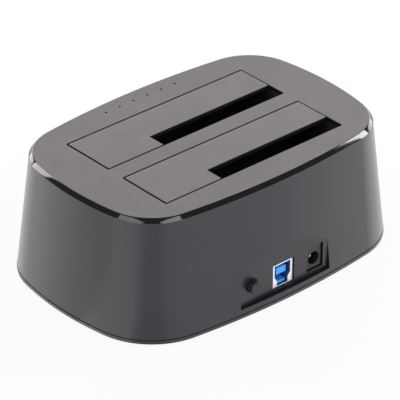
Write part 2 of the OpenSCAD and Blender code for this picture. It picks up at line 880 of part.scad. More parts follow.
// A metal can with round ends
module crystal() {
    w = crystal_w / 2;
    d = crystal_d / 2;
    color(steel)
        translate([-chip_x, crystal_y, under_board_z - crystal_h])
            linear_extrude(crystal_h)
                rounded_rect(-w, w, -d, d, 0.99 * d);
}

module power_inductors() {
    half = inductor_w / 2;
    color([0.2, 0.2, 0.21])
        for (k = [1, 2])
            translate([inductor_x, k * chip_y, under_board_z]) {
                box(-half, half, -half, half, -inductor_base, 0);
                rod(inductor_d / 2, [0, 0], -inductor_h, -inductor_base);
            }
}

// Cans with a bevelled crown and a groove rolled round them near the board
module capacitors() {
    r = capacitor_r;
    bevel = capacitor_crown;
    groove = capacitor_groove;
    color([0.7, 0.71, 0.73])
        for (k = [-1, 0, 1])
            translate([capacitor_x, chip_y + k * capacitor_step, under_board_z])
                rotate_extrude()
                    polygon([[0, -capacitor_h], [r - bevel, -capacitor_h], [r, bevel - capacitor_h],
                        [r, -groove - bevel], [r - bevel, -groove], [r, bevel - groove], [r, 0], [0, 0]]);
}

// Ports

// The mouth of the USB port: wide at the top, shouldered to a narrow lower part
usb_mouth_half = 4.6;
usb_neck_half = 3.2;
usb_mouth_top = 5;
usb_shoulder = [-0.9, -2.9];
usb_neck_low = -5.5;
usb_depth = 15;
usb_corner_r = 0.5;
usb_back_t = 2;
usb_tongue = [5.6, 3.2, 1.2];
usb_low_tongue = [4.7, 1.2, -3.9];
usb_front_t = 0.6;
usb_liner_t = 0.5;
tongue_back = 1;
usb_leg_t = 0.5;
usb_leg_w = 2;
usb_leg_at = [5, 12];
usb_contact_t = 0.2;
usb_contact_w = 1;
usb_contact_x = 1.25;
usb_low_contact_w = 0.5;
usb_low_contact_pitch = 0.9;

module usb_mouth(inset, low) {
    half = usb_mouth_half - inset;
    neck = usb_neck_half - inset;
    right = [[half, usb_mouth_top - inset], [half, usb_shoulder[0]], [neck, usb_shoulder[1]],
        [neck, usb_neck_low + low]];
    polygon(concat(right, [for (i = [3:-1:0]) flip_x(right[i])]));
}

// Turns a profile in X and Z into a solid that runs back along Y from y0
module along_y(y0, len, z) {
    translate([0, y0 + len, z])
        rotate([90, 0, 0])
            linear_extrude(len)
                children();
}

module usb_shell() {
    z0 = usb_at - usb_h / 2;
    z1 = usb_at + usb_h / 2;
    color([0.82, 0.83, 0.85])
        difference() {
            union() {
                along_y(port_y, usb_len, 0)
                    rounded_rect(-usb_w / 2, usb_w / 2, z0, z1, usb_corner_r);
                for (x = [-usb_w / 2, usb_w / 2 - usb_leg_t], y = usb_leg_at)
                    box(x, x + usb_leg_t, port_y + y, port_y + y + usb_leg_w, usb_at, under_board_z);
            }
            along_y(port_y - slack, usb_depth + slack, usb_at)
                usb_mouth(0, 0);
            along_y(port_y + usb_front_t, usb_depth - usb_front_t, usb_at)
                usb_mouth(-usb_liner_t, 0);
        }
}

// The insulator lines the mouth behind the metal front, and carries the two tongues
module usb_insulator() {
    back = port_y + usb_depth;
    front = port_y + usb_front_t + fit;
    color([0.1, 0.42, 0.85])
        union() {
            along_y(back - usb_back_t, usb_back_t, usb_at)
                usb_mouth(fit - usb_liner_t, fit);
            along_y(front, back - usb_back_t / 2 - front, usb_at)
                difference() {
                    usb_mouth(fit - usb_liner_t, fit);
                    usb_mouth(0, -slack);
                }
            for (t = [usb_tongue, usb_low_tongue])
                translate([0, 0, usb_at + t[2]])
                    box(-t[0] / 2, t[0] / 2, port_y + tongue_back, back - usb_back_t / 2, -t[1] / 2,
                        t[1] / 2);
        }
}

// A flat contact strip on a tongue's face
module usb_contact(w, y0, y1, z) {
    box(-w / 2, w / 2, y0, y1, z, z + usb_contact_t);
}

module usb_contacts() {
    y0 = port_y + 2 * tongue_back;
    y1 = port_y + usb_depth - usb_back_t;
    color(gold) {
        for (x = [-usb_contact_x, usb_contact_x], m = [0, 1])
            translate([x, 0, usb_at + usb_tongue[2]])
                mirror([0, 0, m])
                    usb_contact(usb_contact_w, y0, y1, usb_tongue[1] / 2);
        for (i = [-2:2])
            translate([i * usb_low_contact_pitch, 0, usb_at + usb_low_tongue[2]])
                mirror([0, 0, 1])
                    usb_contact(usb_low_contact_w, y0, y1, usb_low_tongue[1] / 2);
    }
}

jack_bore_d = 9.5;
jack_corner_r = 0.6;
jack_slot_w = 3;
jack_slot_h = 1.2;
jack_slot_y = 2;
jack_strip_t = 0.4;
jack_strip_y = 2.5;
jack_strip_bend = 2.5;
jack_strip_drop = 1.5;
jack_pin_back = 2.3;
jack_pin_tail = 1;

module dc_jack_body() {
    x0 = port_pitch - jack_w / 2;
    x1 = port_pitch + jack_w / 2;
    color(inner_black)
        difference() {
            along_y(port_y, jack_len, 0)
                rounded_rect(x0, x1, jack_low, under_board_z, jack_corner_r);
            rod_y(jack_bore / 2, port_pitch, jack_at, port_y - slack, port_y + jack_bore_d);
            rod_y(jack_pin_d / 2 + fit, port_pitch, jack_at, port_y, port_y + jack_len + slack);
            box(port_pitch - jack_slot_w / 2, port_pitch + jack_slot_w / 2, port_y + jack_slot_y,
                port_y + jack_bore_d, jack_at, jack_at + jack_bore / 2 + jack_slot_h);
        }
}

module dc_jack_pin() {
    tip = jack_pin_d / 2;
    long = jack_len - jack_pin_back + jack_pin_tail;
    color(steel)
        translate([port_pitch, port_y + jack_pin_back, jack_at])
            rotate([-90, 0, 0])
                rotate_extrude()
                    polygon([[0, 0], [0.6 * tip, 0], [tip, 0.4 * tip], [tip, long], [0, long]]);
}

// The sprung side contact, a bent strip along the roof of the socket
module dc_jack_contact() {
    roof = jack_at + jack_bore / 2 + jack_slot_h;
    strip = [[jack_strip_y, -jack_strip_drop / 3], [jack_strip_y + jack_strip_bend, -jack_strip_drop],
        [jack_bore_d - fit, 0]];
    color(steel)
        translate([port_pitch - jack_slot_w / 2 + run, port_y, roof])
            rotate([90, 0, 90])
                linear_extrude(jack_slot_w - 2 * run)
                    polygon(concat(strip, [for (i = [2:-1:0]) strip[i] - [0, jack_strip_t]]));
}

// Power button and its switch

module switch_body() {
    hole = plunger_w / 2 + run / 2;
    color(inner_black)
        difference() {
            union() {
                box(-port_pitch - switch_w / 2, -port_pitch + switch_w / 2, switch_y, switch_y + switch_len,
                    button_at - switch_w / 2, button_at + switch_w / 2);
                for (x = [-switch_pin_x, switch_pin_x], k = [1, 3, 5])
                    translate([x - port_pitch, switch_y + k * switch_len / 6, 0])
                        box(-switch_pin_w / 2, switch_pin_w / 2, -switch_pin_t / 2, switch_pin_t / 2,
                            button_at, under_board_z);
            }
            box(-port_pitch - hole, -port_pitch + hole, switch_y - slack,
                switch_y + plunger_in + button_travel + run, button_at - hole, button_at + hole);
        }
}

module switch_plunger() {
    half = plunger_w / 2;
    color([0.85, 0.85, 0.83])
        box(-port_pitch - half, -port_pitch + half, flange_y + flange_t, switch_y + plunger_in,
            button_at - half, button_at + half);
}

// A turned cap with a flange behind the panel and a square socket for the plunger
module power_button() {
    r = button_d / 2;
    tip = panel_y - button_proud;
    flange_r = r + flange_out;
    flange_end = flange_y + flange_t;
    half = plunger_w / 2 + fit;
    color(shell_grey)
        difference() {
            translate([-port_pitch, 0, button_at])
                rotate([-90, 0, 0])
                    rotate_extrude()
                        polygon([[0, tip], [r - button_edge, tip], [r, tip + button_edge], [r, flange_y],
                            [flange_r, flange_y], [flange_r, flange_end], [r - button_edge, flange_end],
                            [r - button_edge, button_tail], [0, button_tail]]);
            box(-port_pitch - half, -port_pitch + half, flange_end, button_tail + slack, button_at - half,
                button_at + half);
        }
}

// Lights

module light_board() {
    color([0.05, 0.28, 0.14])
        difference() {
            box(-light_board_len / 2, light_board_len / 2, light_board_y0, light_board_y1, light_board_z,
                light_board_z + light_board_t);
            for (x = [-light_screw_x, light_screw_x])
                rod(light_screw[0] + run / 2, [x, light_board_mid], light_board_z - slack,
                    light_board_z + light_board_t + slack);
        }
}

module light_board_screws() {
    color(steel)
        for (x = [-light_screw_x, light_screw_x])
            translate([x, light_board_mid, 0])
                screw(light_screw, light_screw_len, light_board_z, 1);
}

module status_leds() {
    z = light_board_z + light_board_t;
    color([0.95, 0.93, 0.8])
        for (i = [0:light_count - 1])
            translate([i * light_pitch - light_half, light_y, z]) {
                box(-led_w / 2, led_w / 2, -led_d / 2, led_d / 2, 0, led_h / 2);
                box(-led_lens_w / 2, led_lens_w / 2, -led_d / 2, led_d / 2, led_h / 2, led_h);
            }
}

// One clear moulding: a bar under the deck with a pin up through each hole
module light_guide() {
    reach = light_half + guide_end;
    color([0.85, 0.9, 0.92])
        union() {
            box(-reach, reach, light_y - guide_w / 2, light_y + guide_w / 2, deck_z - guide_t, deck_z);
            for (i = [0:light_count - 1])
                rod(light_d / 2, [i * light_pitch - light_half, light_y], deck_z - slack, top_z);
        }
}

module ribbon_sockets() {
    half = ribbon_w / 2 + socket_end;
    color([0.9, 0.88, 0.82])
        translate([ribbon_x, 0, 0]) {
            box(-half, half, ribbon_y - socket_d / 2, ribbon_y + socket_d / 2, light_board_z - socket_h,
                light_board_z);
            box(-half, half, board_front - socket_d, board_front, board_top_z, board_top_z + socket_h);
        }
}

// The ribbon drops from the light board and turns in over the main board
module light_ribbon() {
    top = light_board_z - socket_h;
    run_z = board_top_z + socket_h / 2 - ribbon_t / 2;
    bend_y = ribbon_y - ribbon_bend;
    bend_z = run_z + ribbon_bend;
    color([0.8, 0.8, 0.82])
        translate([ribbon_x - ribbon_w / 2, 0, 0])
            rotate([90, 0, 90])
                linear_extrude(ribbon_w) {
                    translate([ribbon_y - ribbon_t, bend_z])
                        square([ribbon_t, top - bend_z]);
                    translate([board_front, run_z])
                        square([bend_y - board_front, ribbon_t]);
                    intersection() {
                        translate([bend_y, bend_z])
                            difference() {
                                circle(ribbon_bend);
                                circle(ribbon_bend - ribbon_t);
                            }
                        translate([bend_y, run_z])
                            square(ribbon_bend);
                    }
                }
}

upper_housing();
base_plate();
foot(-1, 1);  // foot_front_left
foot(1, 1);  // foot_front_right
foot(-1, -1);  // foot_rear_left
foot(1, -1);  // foot_rear_right
base_screws();
cradle(front_bay_y);  // front_cradle
cradle(rear_bay_y);  // rear_cradle
cradle_screws();
flap(front_bay_y);  // front_flap
flap(rear_bay_y);  // rear_flap
hinge_pin(front_bay_y);  // front_hinge_pin
hinge_pin(rear_bay_y);  // rear_hinge_pin
flap_spring(front_bay_y);  // front_flap_spring
flap_spring(rear_bay_y);  // rear_flap_spring
main_board();
board_screws();
sata_connector(front_bay_y);  // front_sata_connector
sata_connector(rear_bay_y);  // rear_sata_connector
sata_contacts(front_bay_y);  // front_sata_contacts
sata_contacts(rear_bay_y);  // rear_sata_contacts
bridge_chip();
firmware_chip();
crystal();
power_inductors();
capacitors();
usb_shell();
usb_insulator();
usb_contacts();
dc_jack_body();
dc_jack_pin();
dc_jack_contact();
switch_body();
switch_plunger();
power_button();
light_board();
light_board_screws();
status_leds();
light_guide();
ribbon_sockets();
light_ribbon();
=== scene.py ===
from math import atan2, cos, hypot, pi, radians, sin, sqrt

import bmesh
import bpy
from bpy.props import FloatProperty, FloatVectorProperty, PointerProperty
from mathutils import Matrix, Vector


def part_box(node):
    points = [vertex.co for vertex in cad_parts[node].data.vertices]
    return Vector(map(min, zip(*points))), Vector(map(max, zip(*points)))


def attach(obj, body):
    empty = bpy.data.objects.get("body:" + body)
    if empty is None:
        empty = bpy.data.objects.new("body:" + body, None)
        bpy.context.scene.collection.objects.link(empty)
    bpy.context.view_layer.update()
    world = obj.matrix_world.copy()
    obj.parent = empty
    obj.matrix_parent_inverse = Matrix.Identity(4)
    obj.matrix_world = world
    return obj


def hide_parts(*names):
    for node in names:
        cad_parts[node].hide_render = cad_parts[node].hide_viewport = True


bl_info = {
    "name": "Drive dock looks",
    "version": (1, 0, 0),
    "blender": (4, 5, 0),
    "location": "3D View > Sidebar > Drive Dock",
    "description": "Models and finishes the pieces of a two-bay drive dock on its packed frame",
    "category": "Object",
}

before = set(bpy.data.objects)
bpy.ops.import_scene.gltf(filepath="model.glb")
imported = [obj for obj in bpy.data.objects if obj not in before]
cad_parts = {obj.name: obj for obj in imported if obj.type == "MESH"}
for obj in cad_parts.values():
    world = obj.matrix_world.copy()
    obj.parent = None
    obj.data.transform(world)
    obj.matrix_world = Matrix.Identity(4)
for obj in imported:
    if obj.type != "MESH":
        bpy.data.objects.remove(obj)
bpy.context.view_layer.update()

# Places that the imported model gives
SEAM_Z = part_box("upper_housing")[0].z
TOP_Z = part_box("upper_housing")[1].z
BASE_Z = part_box("base_plate")[0].z
BAYS = ("front", "rear")
FLAP_BOX = {bay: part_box(f"{bay}_flap") for bay in BAYS}
PIN_BOX = {bay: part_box(f"{bay}_hinge_pin") for bay in BAYS}
GUIDE_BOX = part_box("light_guide")
USB_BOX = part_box("usb_shell")
JACK_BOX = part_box("dc_jack_body")
BUTTON_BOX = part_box("power_button")
FEET = ("foot_front_left", "foot_front_right", "foot_rear_left", "foot_rear_right")
LIGHTS = 6
LIGHT_ROW = (GUIDE_BOX[0].y + GUIDE_BOX[1].y) / 2

# Directions, axes and the smallest distance that counts
UP = Vector((0, 0, 1))
ALONG = Vector((1, 0, 0))
INWARD = Vector((0, 1, 0))
X, Y, Z = range(3)
TINY = 1e-6

# Steps of the plan's arcs, the chamfer's crown and rounded corners
END_STEPS = 10
CORNER_STEPS = 36
SIDE_STEPS = 14
CROWN_STEPS = 5
CORNER_SEGMENTS = 5
ROUND_SIDES = 28

# Limits that tell edges and faces apart: turns, a length, and shares of a unit normal
FLAT_TURN = radians(0.4)
PANEL_TURN = radians(2)
KEEN_TURN = radians(30)
CORNER_TURN = radians(45)
RIM_TURN = radians(60)
SHORT_EDGE = 0.0002
PARALLEL = 0.999
FACING = 0.9
UPRIGHT = 0.3
EDGE_ON = 0.1

# Finishes of the housing's faces, by material slot; the recess slot holds a darker plastic that is painted
# shade
POLISH_SLOT, RECESS_SHADE_SLOT, PANEL_SLOT = 1, 2, 3

# Fits of the flaps: how far joined forms reach into each other, clearances and shares
BITE = 0.0004
ARM_RISE = 0.00025
ARM_WAIST = 0.7
RIB_INSET = 0.002
RIB_LAP = 0.001
PIN_CLEAR = 0.00006
KNUCKLE_SHARES = (0.86, 0.27)

# Turned profiles: shares of the radius, of the rim's rounding or of the tip, with heights in metres
FOOT_PROFILE = ((0, 0.00012), (0.62, 0.00012), (0.68, 0), (0.9, 0), (0.955, 0.00008), (0.985, 0.0002),
                (1, 0.00045))
BUTTON_DISH = ((0, 0.00008), (0.55, 0.00005))
BUTTON_RIM = ((1, 0), (0.6, 0.08), (0.3, 0.3), (0.08, 0.6), (0, 1))
BUTTON_NECK = 0.0035
BUTTON_FLANGE = 0.0012
BUTTON_BORE = 0.0021
BUTTON_WEB = 0.0013
LIGHT_TIP = ((1, 0.00025), (0.9, 0.00012), (0.6, 0.00003), (0, 0))
LIGHT_ROOT = 0.001
LIGHT_CLEAR = 0.00005
GUIDE_ROUND = 0.0003

# Spread of roughness in the film on plastic and metal, and the sheen's limits
PLASTIC_SPREAD = 0.025
METAL_SPREAD = 0.06
FILM_LOW, FILM_HIGH = 0.3, 0.7
SHEEN_SPAN = 0.24
DECK_RISE, WALL_RISE = 0.8, 0.4
SHELL_ROUGH = 0.34

# Distances from the dock over which the floor turns plain white, and the cards' height above it
WHITE_NEAR, WHITE_FAR = 0.3, 1.2
CARD_LIFT = 0.0003


def length(name, text, millimetres):
    """A length property, its default given in millimetres."""
    return FloatProperty(name=name, description=text, default=millimetres / 1000, unit="LENGTH", precision=5)


def tint(name, text, rgb):
    """A colour property."""
    return FloatVectorProperty(name=name, description=text, default=rgb, subtype="COLOR", size=3,
                               min=0, max=1)


def amount(name, text, value):
    """A plain number property."""
    return FloatProperty(name=name, description=text, default=value, precision=3)


def angle(name, text, degrees):
    """An angle property, its default given in degrees."""
    return FloatProperty(name=name, description=text, default=radians(degrees), subtype="ANGLE")


class DockHousingSizes(bpy.types.PropertyGroup):
    """Shape of the moulded housing"""

    deck_length: length("Deck length", "Length of the flat deck", 148)
    deck_depth: length("Deck depth", "Depth of the flat deck", 97.5)
    side_bow: length("Side bow", "Radius of the long sides in plan", 386)
    end_bow: length("End bow", "Radius of the short sides in plan", 140)
    corner_radius: length("Corner radius", "Radius of the deck's corners in plan", 24.8)
    chamfer_width: length("Chamfer width", "Width of the polished chamfer", 1.7)
    chamfer_height: length("Chamfer height", "Height of the polished chamfer", 1.9)
    chamfer_crown: length("Chamfer crown", "Rise of the chamfer above a flat facet", 0.03)
    flare: length("Flare", "How far the walls lean out down to the base", 6.4)
    wall: length("Wall", "Thickness of the walls", 2.2)
    deck: length("Deck", "Thickness of the deck", 2.2)
    edge_round: length("Edge round", "Rounding of the chamfer's two edges", 0.12)
    rim_round: length("Rim round", "Rounding of the bay, panel and port edges", 0.18)
    seam_height: length("Seam height", "Height of the shadow line above the base rim", 0.4)
    seam_lift: length("Seam lift", "How far the base rim's outer edge rises into the shadow line", 0.18)
    seam_round: length("Seam round", "Rounding of the edges beside the shadow line and under the rim", 0.2)


class DockBaySizes(bpy.types.PropertyGroup):
    """Sizes of the bays and their flaps"""

    bay_length: length("Bay length", "Length of a bay opening", 103)
    bay_width: length("Bay width", "Width of a bay opening", 28.9)
    bay_corner: length("Bay corner", "Corner radius of a bay opening", 0.8)
    slot_length: length("Slot length", "Length of the slot beside a flap", 70.9)
    slot_width: length("Slot width", "Width of the slot beside a flap", 9.95)
    flap_gap: length("Flap gap", "Gap round a flap", 0.65)
    flap_thick: length("Flap thickness", "Thickness of a flap's plate", 1.8)
    flap_round: length("Flap round", "Rounding of a flap's upper edges", 0.2)
    rib_high: length("Rib height", "Height of the ribs under a flap", 0.9)
    rib_thick: length("Rib thickness", "Thickness of the ribs under a flap", 1.2)
    knuckle_long: length("Knuckle length", "Length of a hinge knuckle", 8)
    knuckle_wall: length("Knuckle wall", "Wall of a knuckle round its pin", 0.9)
    arm_reach: length("Arm reach", "How far a hinge arm runs in under the plate", 3.4)


class DockPortSizes(bpy.types.PropertyGroup):
    """Sizes of the port panel"""

    panel_width: length("Panel width", "Width of the flat port panel", 52.4)
    ledge_height: length("Ledge height", "Height of the panel's ledge above the base", 4.3)
    panel_inset: length("Panel inset", "Depth of the panel behind the wall at its ledge", 2.46)
    panel_thick: length("Panel thickness", "Thickness of the panel", 2)
    port_gap: length("Port gap", "Gap round the ports", 0.3)
    button_gap: length("Button gap", "Gap round the power button", 0.25)
    button_radius: length("Button radius", "Radius of the power button's cap", 3.1)
    button_edge: length("Button edge", "Rounding of the power button's rim", 0.2)
    frame_skin: length("Frame skin", "Thickness of the data port's metal beside its mouth", 0.2)
    tongue_half: length("Tongue half width", "Half the width of the data port's upper tongue", 2.8)
    tongue_root: length("Tongue root", "Thickness of the plate that the tongues stand on", 2)
    tongue_drop: length("Tongue drop", "Depth of the upper tongue below the top of the lining", 1.5)
    tongue_rise: length("Tongue rise", "Height above the lining's foot that the lower tongue stays below", 3)
    tongue_sag: length("Tongue sag", "How far the lower tongue is set down", 0.5)
    jack_bore: length("Jack bore", "Diameter of the power jack's socket", 6.3)
    jack_drop: length("Jack drop", "Height of the socket's middle above the jack's lower face", 4.9)
    jack_round: length("Jack round", "Rounding of the jack's front edges", 0.15)
    light_pitch: length("Light pitch", "Spacing of the status lights", 8.07)
    light_hole: length("Light hole", "Radius of a status light's hole", 0.55)
    light_sink: length("Light sink", "Depth of the light tips below the deck", 0.35)


class DockFinishes(bpy.types.PropertyGroup):
    """Colours of the pieces"""

    shell: tint("Shell", "Satin plastic of the housing, base and button", (0.01, 0.0098, 0.0155))
    flap: tint("Flap", "Satin plastic of the flaps", (0.018, 0.0168, 0.0205))
    polish: tint("Polish", "Polished plastic of the chamfer", (0.003, 0.003, 0.0035))
    # The recess tint is darker than the shell: painted shade on slot edges, port holes, the panel's ends and
    # the ledge.
    recess: tint("Recess", "Matt plastic of slot edges, port holes and the ledge", (0.0068, 0.0066, 0.0078))
    well: tint("Well", "Plastic of the drive cradles", (0.019, 0.019, 0.0205))
    rubber: tint("Rubber", "Feet", (0.018, 0.018, 0.018))
    nylon: tint("Nylon", "Body of the power jack", (0.0125, 0.012, 0.0135))
    # The bore tint, darker than the jack's nylon, is painted shade inside the socket.
    bore: tint("Bore", "Inside of the power jack", (0.009, 0.009, 0.011))
    port_blue: tint("Port blue", "Tongues of the data port", (0.056, 0.345, 0.88))
    # Port navy is a darker copy of the port blue: painted shade on the lining inside the data port's mouth.
    port_navy: tint("Port navy", "Lining of the data port", (0.014, 0.085, 0.3))
    plating: tint("Plating", "Plated steel of the data port", (0.97, 0.97, 0.955))
    # The board's own green, darkened below plain solder mask: painted shade for the deep bays.
    board: tint("Board", "Solder mask of the circuit boards", (0.006, 0.045, 0.02))
    gold: tint("Gold", "Contacts", (0.83, 0.62, 0.25))
    steel: tint("Steel", "Screws, pins and springs", (0.56, 0.57, 0.58))
    lens: tint("Lens", "Smoked tips of the light guide", (0.012, 0.012, 0.014))


class DockStudio(bpy.types.PropertyGroup):
    """Camera, lamps and floor"""

    focal: amount("Focal length", "Lens of the camera in millimetres on a 36 mm sensor", 303.7)
    stand: FloatVectorProperty(
        name="Camera place", description="Where the camera stands", default=(-0.85294, -0.95985, 0.8017),
        subtype="TRANSLATION", unit="LENGTH", size=3, precision=5)
    aim: FloatVectorProperty(
        name="Camera turn", description="How the camera is turned",
        default=(radians(58.8468), radians(-0.2854), radians(-41.4105)), subtype="EULER", size=3,
        precision=5)
    floor: tint("Floor", "Paper that the dock stands on", (0.93, 0.93, 0.93))
    sky: tint("Room", "Dim light of the room above the set", (0.18, 0.178, 0.182))
    sweep: tint("Sweep", "White paper that rises round the set", (0.98, 0.98, 0.98))
    sweep_top: amount("Sweep top", "Sine of the elevation at which the white paper starts to fade", 0.09)
    room_low: amount("Room low", "Sine of the elevation at which the white paper has faded", 0.22)
    warm: tint("Warm tint", "Tint of the box behind", (1.0, 0.93, 0.945))
    cool: tint("Cool tint", "Tint of the two front boxes", (0.96, 0.945, 1.0))
    plain: tint("Plain tint", "Tint of the other boxes", (1.0, 0.945, 0.99))
    glow: amount("Floor white", "Share of plain white in the floor as it is seen by the dock", 0.9)
    card_near: length("Card near", "Distance of the cards' near edges from the corner's middle", 33)
    card_far: length("Card far", "Distance of the cards' far edges from the corner's middle", 260)
    grey_turn: angle("Grey card turn", "Direction of the grey card from the near corner", 228)
    grey_half: angle("Grey card half", "Half the angle that the grey card spans", 15)
    grey_level: amount("Grey card level", "Brightness of the grey card", 0.73)
    bright_turn: angle("Bright card turn", "Direction of the bright card from the near corner", 187)
    bright_half: angle("Bright card half", "Half the angle that the bright card spans", 23)
    bright_level: amount("Bright card level", "Brightness of the bright card", 1.42)
    front_left: amount("Front left light", "Brightness of the head over the left front box", 2.5)
    left_fill: amount("Front left fill", "Brightness of the left front box", 2.1)
    front_right: amount("Front right light", "Brightness of the head over the right front box", 3.4)
    right_fill: amount("Front right fill", "Brightness of the right front box", 2.1)
    left_strip: amount("Left strip", "Brightness of the narrow box on the left", 6.4)
    left_light: amount("Left light", "Brightness of the wide box on the left", 3.9)
    right_strip: amount("Right strip", "Brightness of the narrow box on the right", 11.5)
    right_light: amount("Right light", "Brightness of the wide box on the right", 3.8)
    back_light: amount("Back light", "Brightness of the box behind", 2.44)


# Mesh helpers

def as_object(bm, name):
    """Turns a bmesh into an object in the scene."""
    mesh = bpy.data.meshes.new(name)
    bm.to_mesh(mesh)
    bm.free()
    thing = bpy.data.objects.new(name, mesh)
    bpy.context.scene.collection.objects.link(thing)
    return thing


def solid(bm, name):
    """Turns a closed bmesh into an object, its faces pointing outwards."""
    bmesh.ops.recalc_face_normals(bm, faces=bm.faces)
    if any(not edge.is_manifold for edge in bm.edges):
        raise RuntimeError(f"{name} isn't a closed solid")
    return as_object(bm, name)


def block(low, high):
    """A box between two corners."""
    bm = bmesh.new()
    low, high = Vector(low), Vector(high)
    bmesh.ops.create_cube(bm, size=1)
    bmesh.ops.scale(bm, vec=high - low, verts=bm.verts)
    bmesh.ops.translate(bm, vec=(low + high) / 2, verts=bm.verts)
    return bm


def rod(start, end, radius, sides=40):
    """A cylinder between two points."""
    bm = bmesh.new()
    start, end = Vector(start), Vector(end)
    run = end - start
    place = Matrix.Translation((start + end) / 2) @ UP.rotation_difference(run).to_matrix().to_4x4()
    bmesh.ops.create_cone(bm, cap_ends=True, segments=sides, radius1=radius, radius2=radius,
                          depth=run.length, matrix=place)
    return bm


def prism(points, run):
    """A flat outline drawn out along a vector."""
    bm = bmesh.new()
    face = bm.faces.new([bm.verts.new(point) for point in points])
    drawn = bmesh.ops.extrude_face_region(bm, geom=[face])["geom"]
    bmesh.ops.translate(bm, vec=run, verts=[v for v in drawn if isinstance(v, bmesh.types.BMVert)])
    return bm


def turned(section, centre, axis, sides=48):
    """A turned solid: the section's radii and places along the axis, spun a full turn."""
    bm = bmesh.new()
    verts = [bm.verts.new(centre + ALONG * radius + axis * along) for radius, along in section]
    edges = [bm.edges.new(pair) for pair in zip(verts, verts[1:])]
    bmesh.ops.spin(bm, geom=verts + edges, cent=centre, axis=axis, angle=2 * pi, steps=sides, use_merge=True)
    bmesh.ops.remove_doubles(bm, verts=bm.verts, dist=TINY)
    return bm


def soften(bm, edges, width, segments=2, clamp=True):
    """Rounds edges over by a small width, held back by short neighbours if clamped."""
    bmesh.ops.bevel(bm, geom=edges, offset=width, offset_type="OFFSET", segments=segments, profile=0.5,
                    affect="EDGES", clamp_overlap=clamp, material=-1)


def edges_along(bm, axis):
    """The edges of a bmesh that run along an axis."""
    return [e for e in bm.edges if abs((e.verts[0].co - e.verts[1].co).normalized().dot(axis)) > PARALLEL]


def lies_at(edge, axis, level, slack=TINY):
    """Whether both ends of an edge lie at a level along an axis."""
    return all(abs(v.co[axis] - level) < slack for v in edge.verts)


def edges_at(bm, axis, level, slack=TINY):
    """The edges of a bmesh that lie at a level along an axis."""
    return [e for e in bm.edges if lies_at(e, axis, level, slack)]


def combine(target, tools, operation):
    """Cuts tools out of a target, or joins them to it, and removes the tools."""
    for tool in tools:
        step = target.modifiers.new(tool.name, "BOOLEAN")
        step.operation = operation
        step.solver = "EXACT"
        step.object = tool
    graph = bpy.context.evaluated_depsgraph_get()
    made = bpy.data.meshes.new_from_object(target.evaluated_get(graph))
    if not made.polygons:
        raise RuntimeError(f"{target.name} has no faces left")
    target.modifiers.clear()
    old = target.data
    target.data = made
    bpy.data.meshes.remove(old)
    for tool in tools:
        bpy.data.objects.remove(tool)


def reopen(thing):
    """A piece's mesh as a bmesh with its doubles merged."""
    bm = bmesh.new()
    bm.from_mesh(thing.data)
    bmesh.ops.remove_doubles(bm, verts=bm.verts, dist=TINY)
    return bm


def merged_copy(node, name):
    """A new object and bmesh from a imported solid, its triangles merged into whole faces."""
    thing = bpy.data.objects.new(name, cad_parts[node].data.copy())
    bpy.context.scene.collection.objects.link(thing)
    thing.data.materials.clear()
    bm = reopen(thing)
    bmesh.ops.dissolve_limit(bm, angle_limit=FLAT_TURN, verts=bm.verts, edges=bm.edges)
    return thing, bm


def shade(bm, thing):
    """Writes a bmesh back with smooth faces and crisp edges."""
    for face in bm.faces:
        face.smooth = True
    for edge in bm.edges:
        edge.smooth = edge.smooth and edge.calc_face_angle(0) < KEEN_TURN
    bm.to_mesh(thing.data)
    bm.free()
    even = thing.modifiers.new("even_shading", "WEIGHTED_NORMAL")
    even.keep_sharp = True


def set_piece(thing, body, slot, node, *finishes):
    """Hands a piece to its body in place of its solid."""
    for finish in finishes:
        thing.data.materials.append(finish)
    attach(thing, body)
    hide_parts(node)


def dress(finish, *nodes):
    """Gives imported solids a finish."""
    for node in nodes:
        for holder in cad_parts[node].material_slots:
            holder.material = finish


# Plan of the housing and places of the bays and lights

def plan_arcs(sizes):
    """Centre, sweep and steps of the end bow, corner and side bow of a quarter of the plan."""
    end_at = Vector((sizes.deck_length / 2 - sizes.end_bow, 0, 0))
    side_at = Vector((0, sizes.deck_depth / 2 - sizes.side_bow, 0))
    end_r = sizes.end_bow - sizes.corner_radius
    side_r = sizes.side_bow - sizes.corner_radius
    apart = (end_at - side_at).length
    way = (end_at - side_at) / apart
    along = (side_r ** 2 - end_r ** 2 + apart ** 2) / (2 * apart)
    corner_at = side_at + along * way + sqrt(side_r ** 2 - along ** 2) * Vector((way.y, -way.x, 0))
    first = atan2(corner_at.y - end_at.y, corner_at.x - end_at.x)
    second = atan2(corner_at.y - side_at.y, corner_at.x - side_at.x)
    return [(end_at, first, END_STEPS), (corner_at, second - first, CORNER_STEPS),
            (side_at, pi / 2 - second, SIDE_STEPS)]


def bowed_solid(sizes, section):
    """A solid of the bowed plan whose wall follows a section of outward offsets and heights."""
    bm = bmesh.new()
    verts = [bm.verts.new((sizes.deck_length / 2 + out, 0, z)) for out, z in section]
    chain = verts + [bm.edges.new(pair) for pair in zip(verts, verts[1:])]
    for centre, sweep, steps in plan_arcs(sizes):
        chain = bmesh.ops.spin(bm, geom=chain, cent=centre, axis=UP, angle=sweep, steps=steps)["geom_last"]
    for axis in "XY":
        everything = bm.verts[:] + bm.edges[:] + bm.faces[:]
        bmesh.ops.mirror(bm, geom=everything, matrix=Matrix(), merge_dist=TINY, axis=axis)
    bmesh.ops.remove_doubles(bm, verts=bm.verts, dist=TINY)
    bmesh.ops.holes_fill(bm, edges=[e for e in bm.edges if e.is_boundary])
    bmesh.ops.recalc_face_normals(bm, faces=bm.faces)
    return bm


def wall_out(sizes, z):
    """Outward offset of the wall from the deck's outline at a height."""
    edge_z = TOP_Z - sizes.chamfer_height
    return sizes.chamfer_width + sizes.flare * (edge_z - z) / (edge_z - BASE_Z)


def panel_face(sizes, ports):
    """Y of the port panel's flat face."""
    return ports.panel_inset - sizes.deck_depth / 2 - wall_out(sizes, BASE_Z + ports.ledge_height)


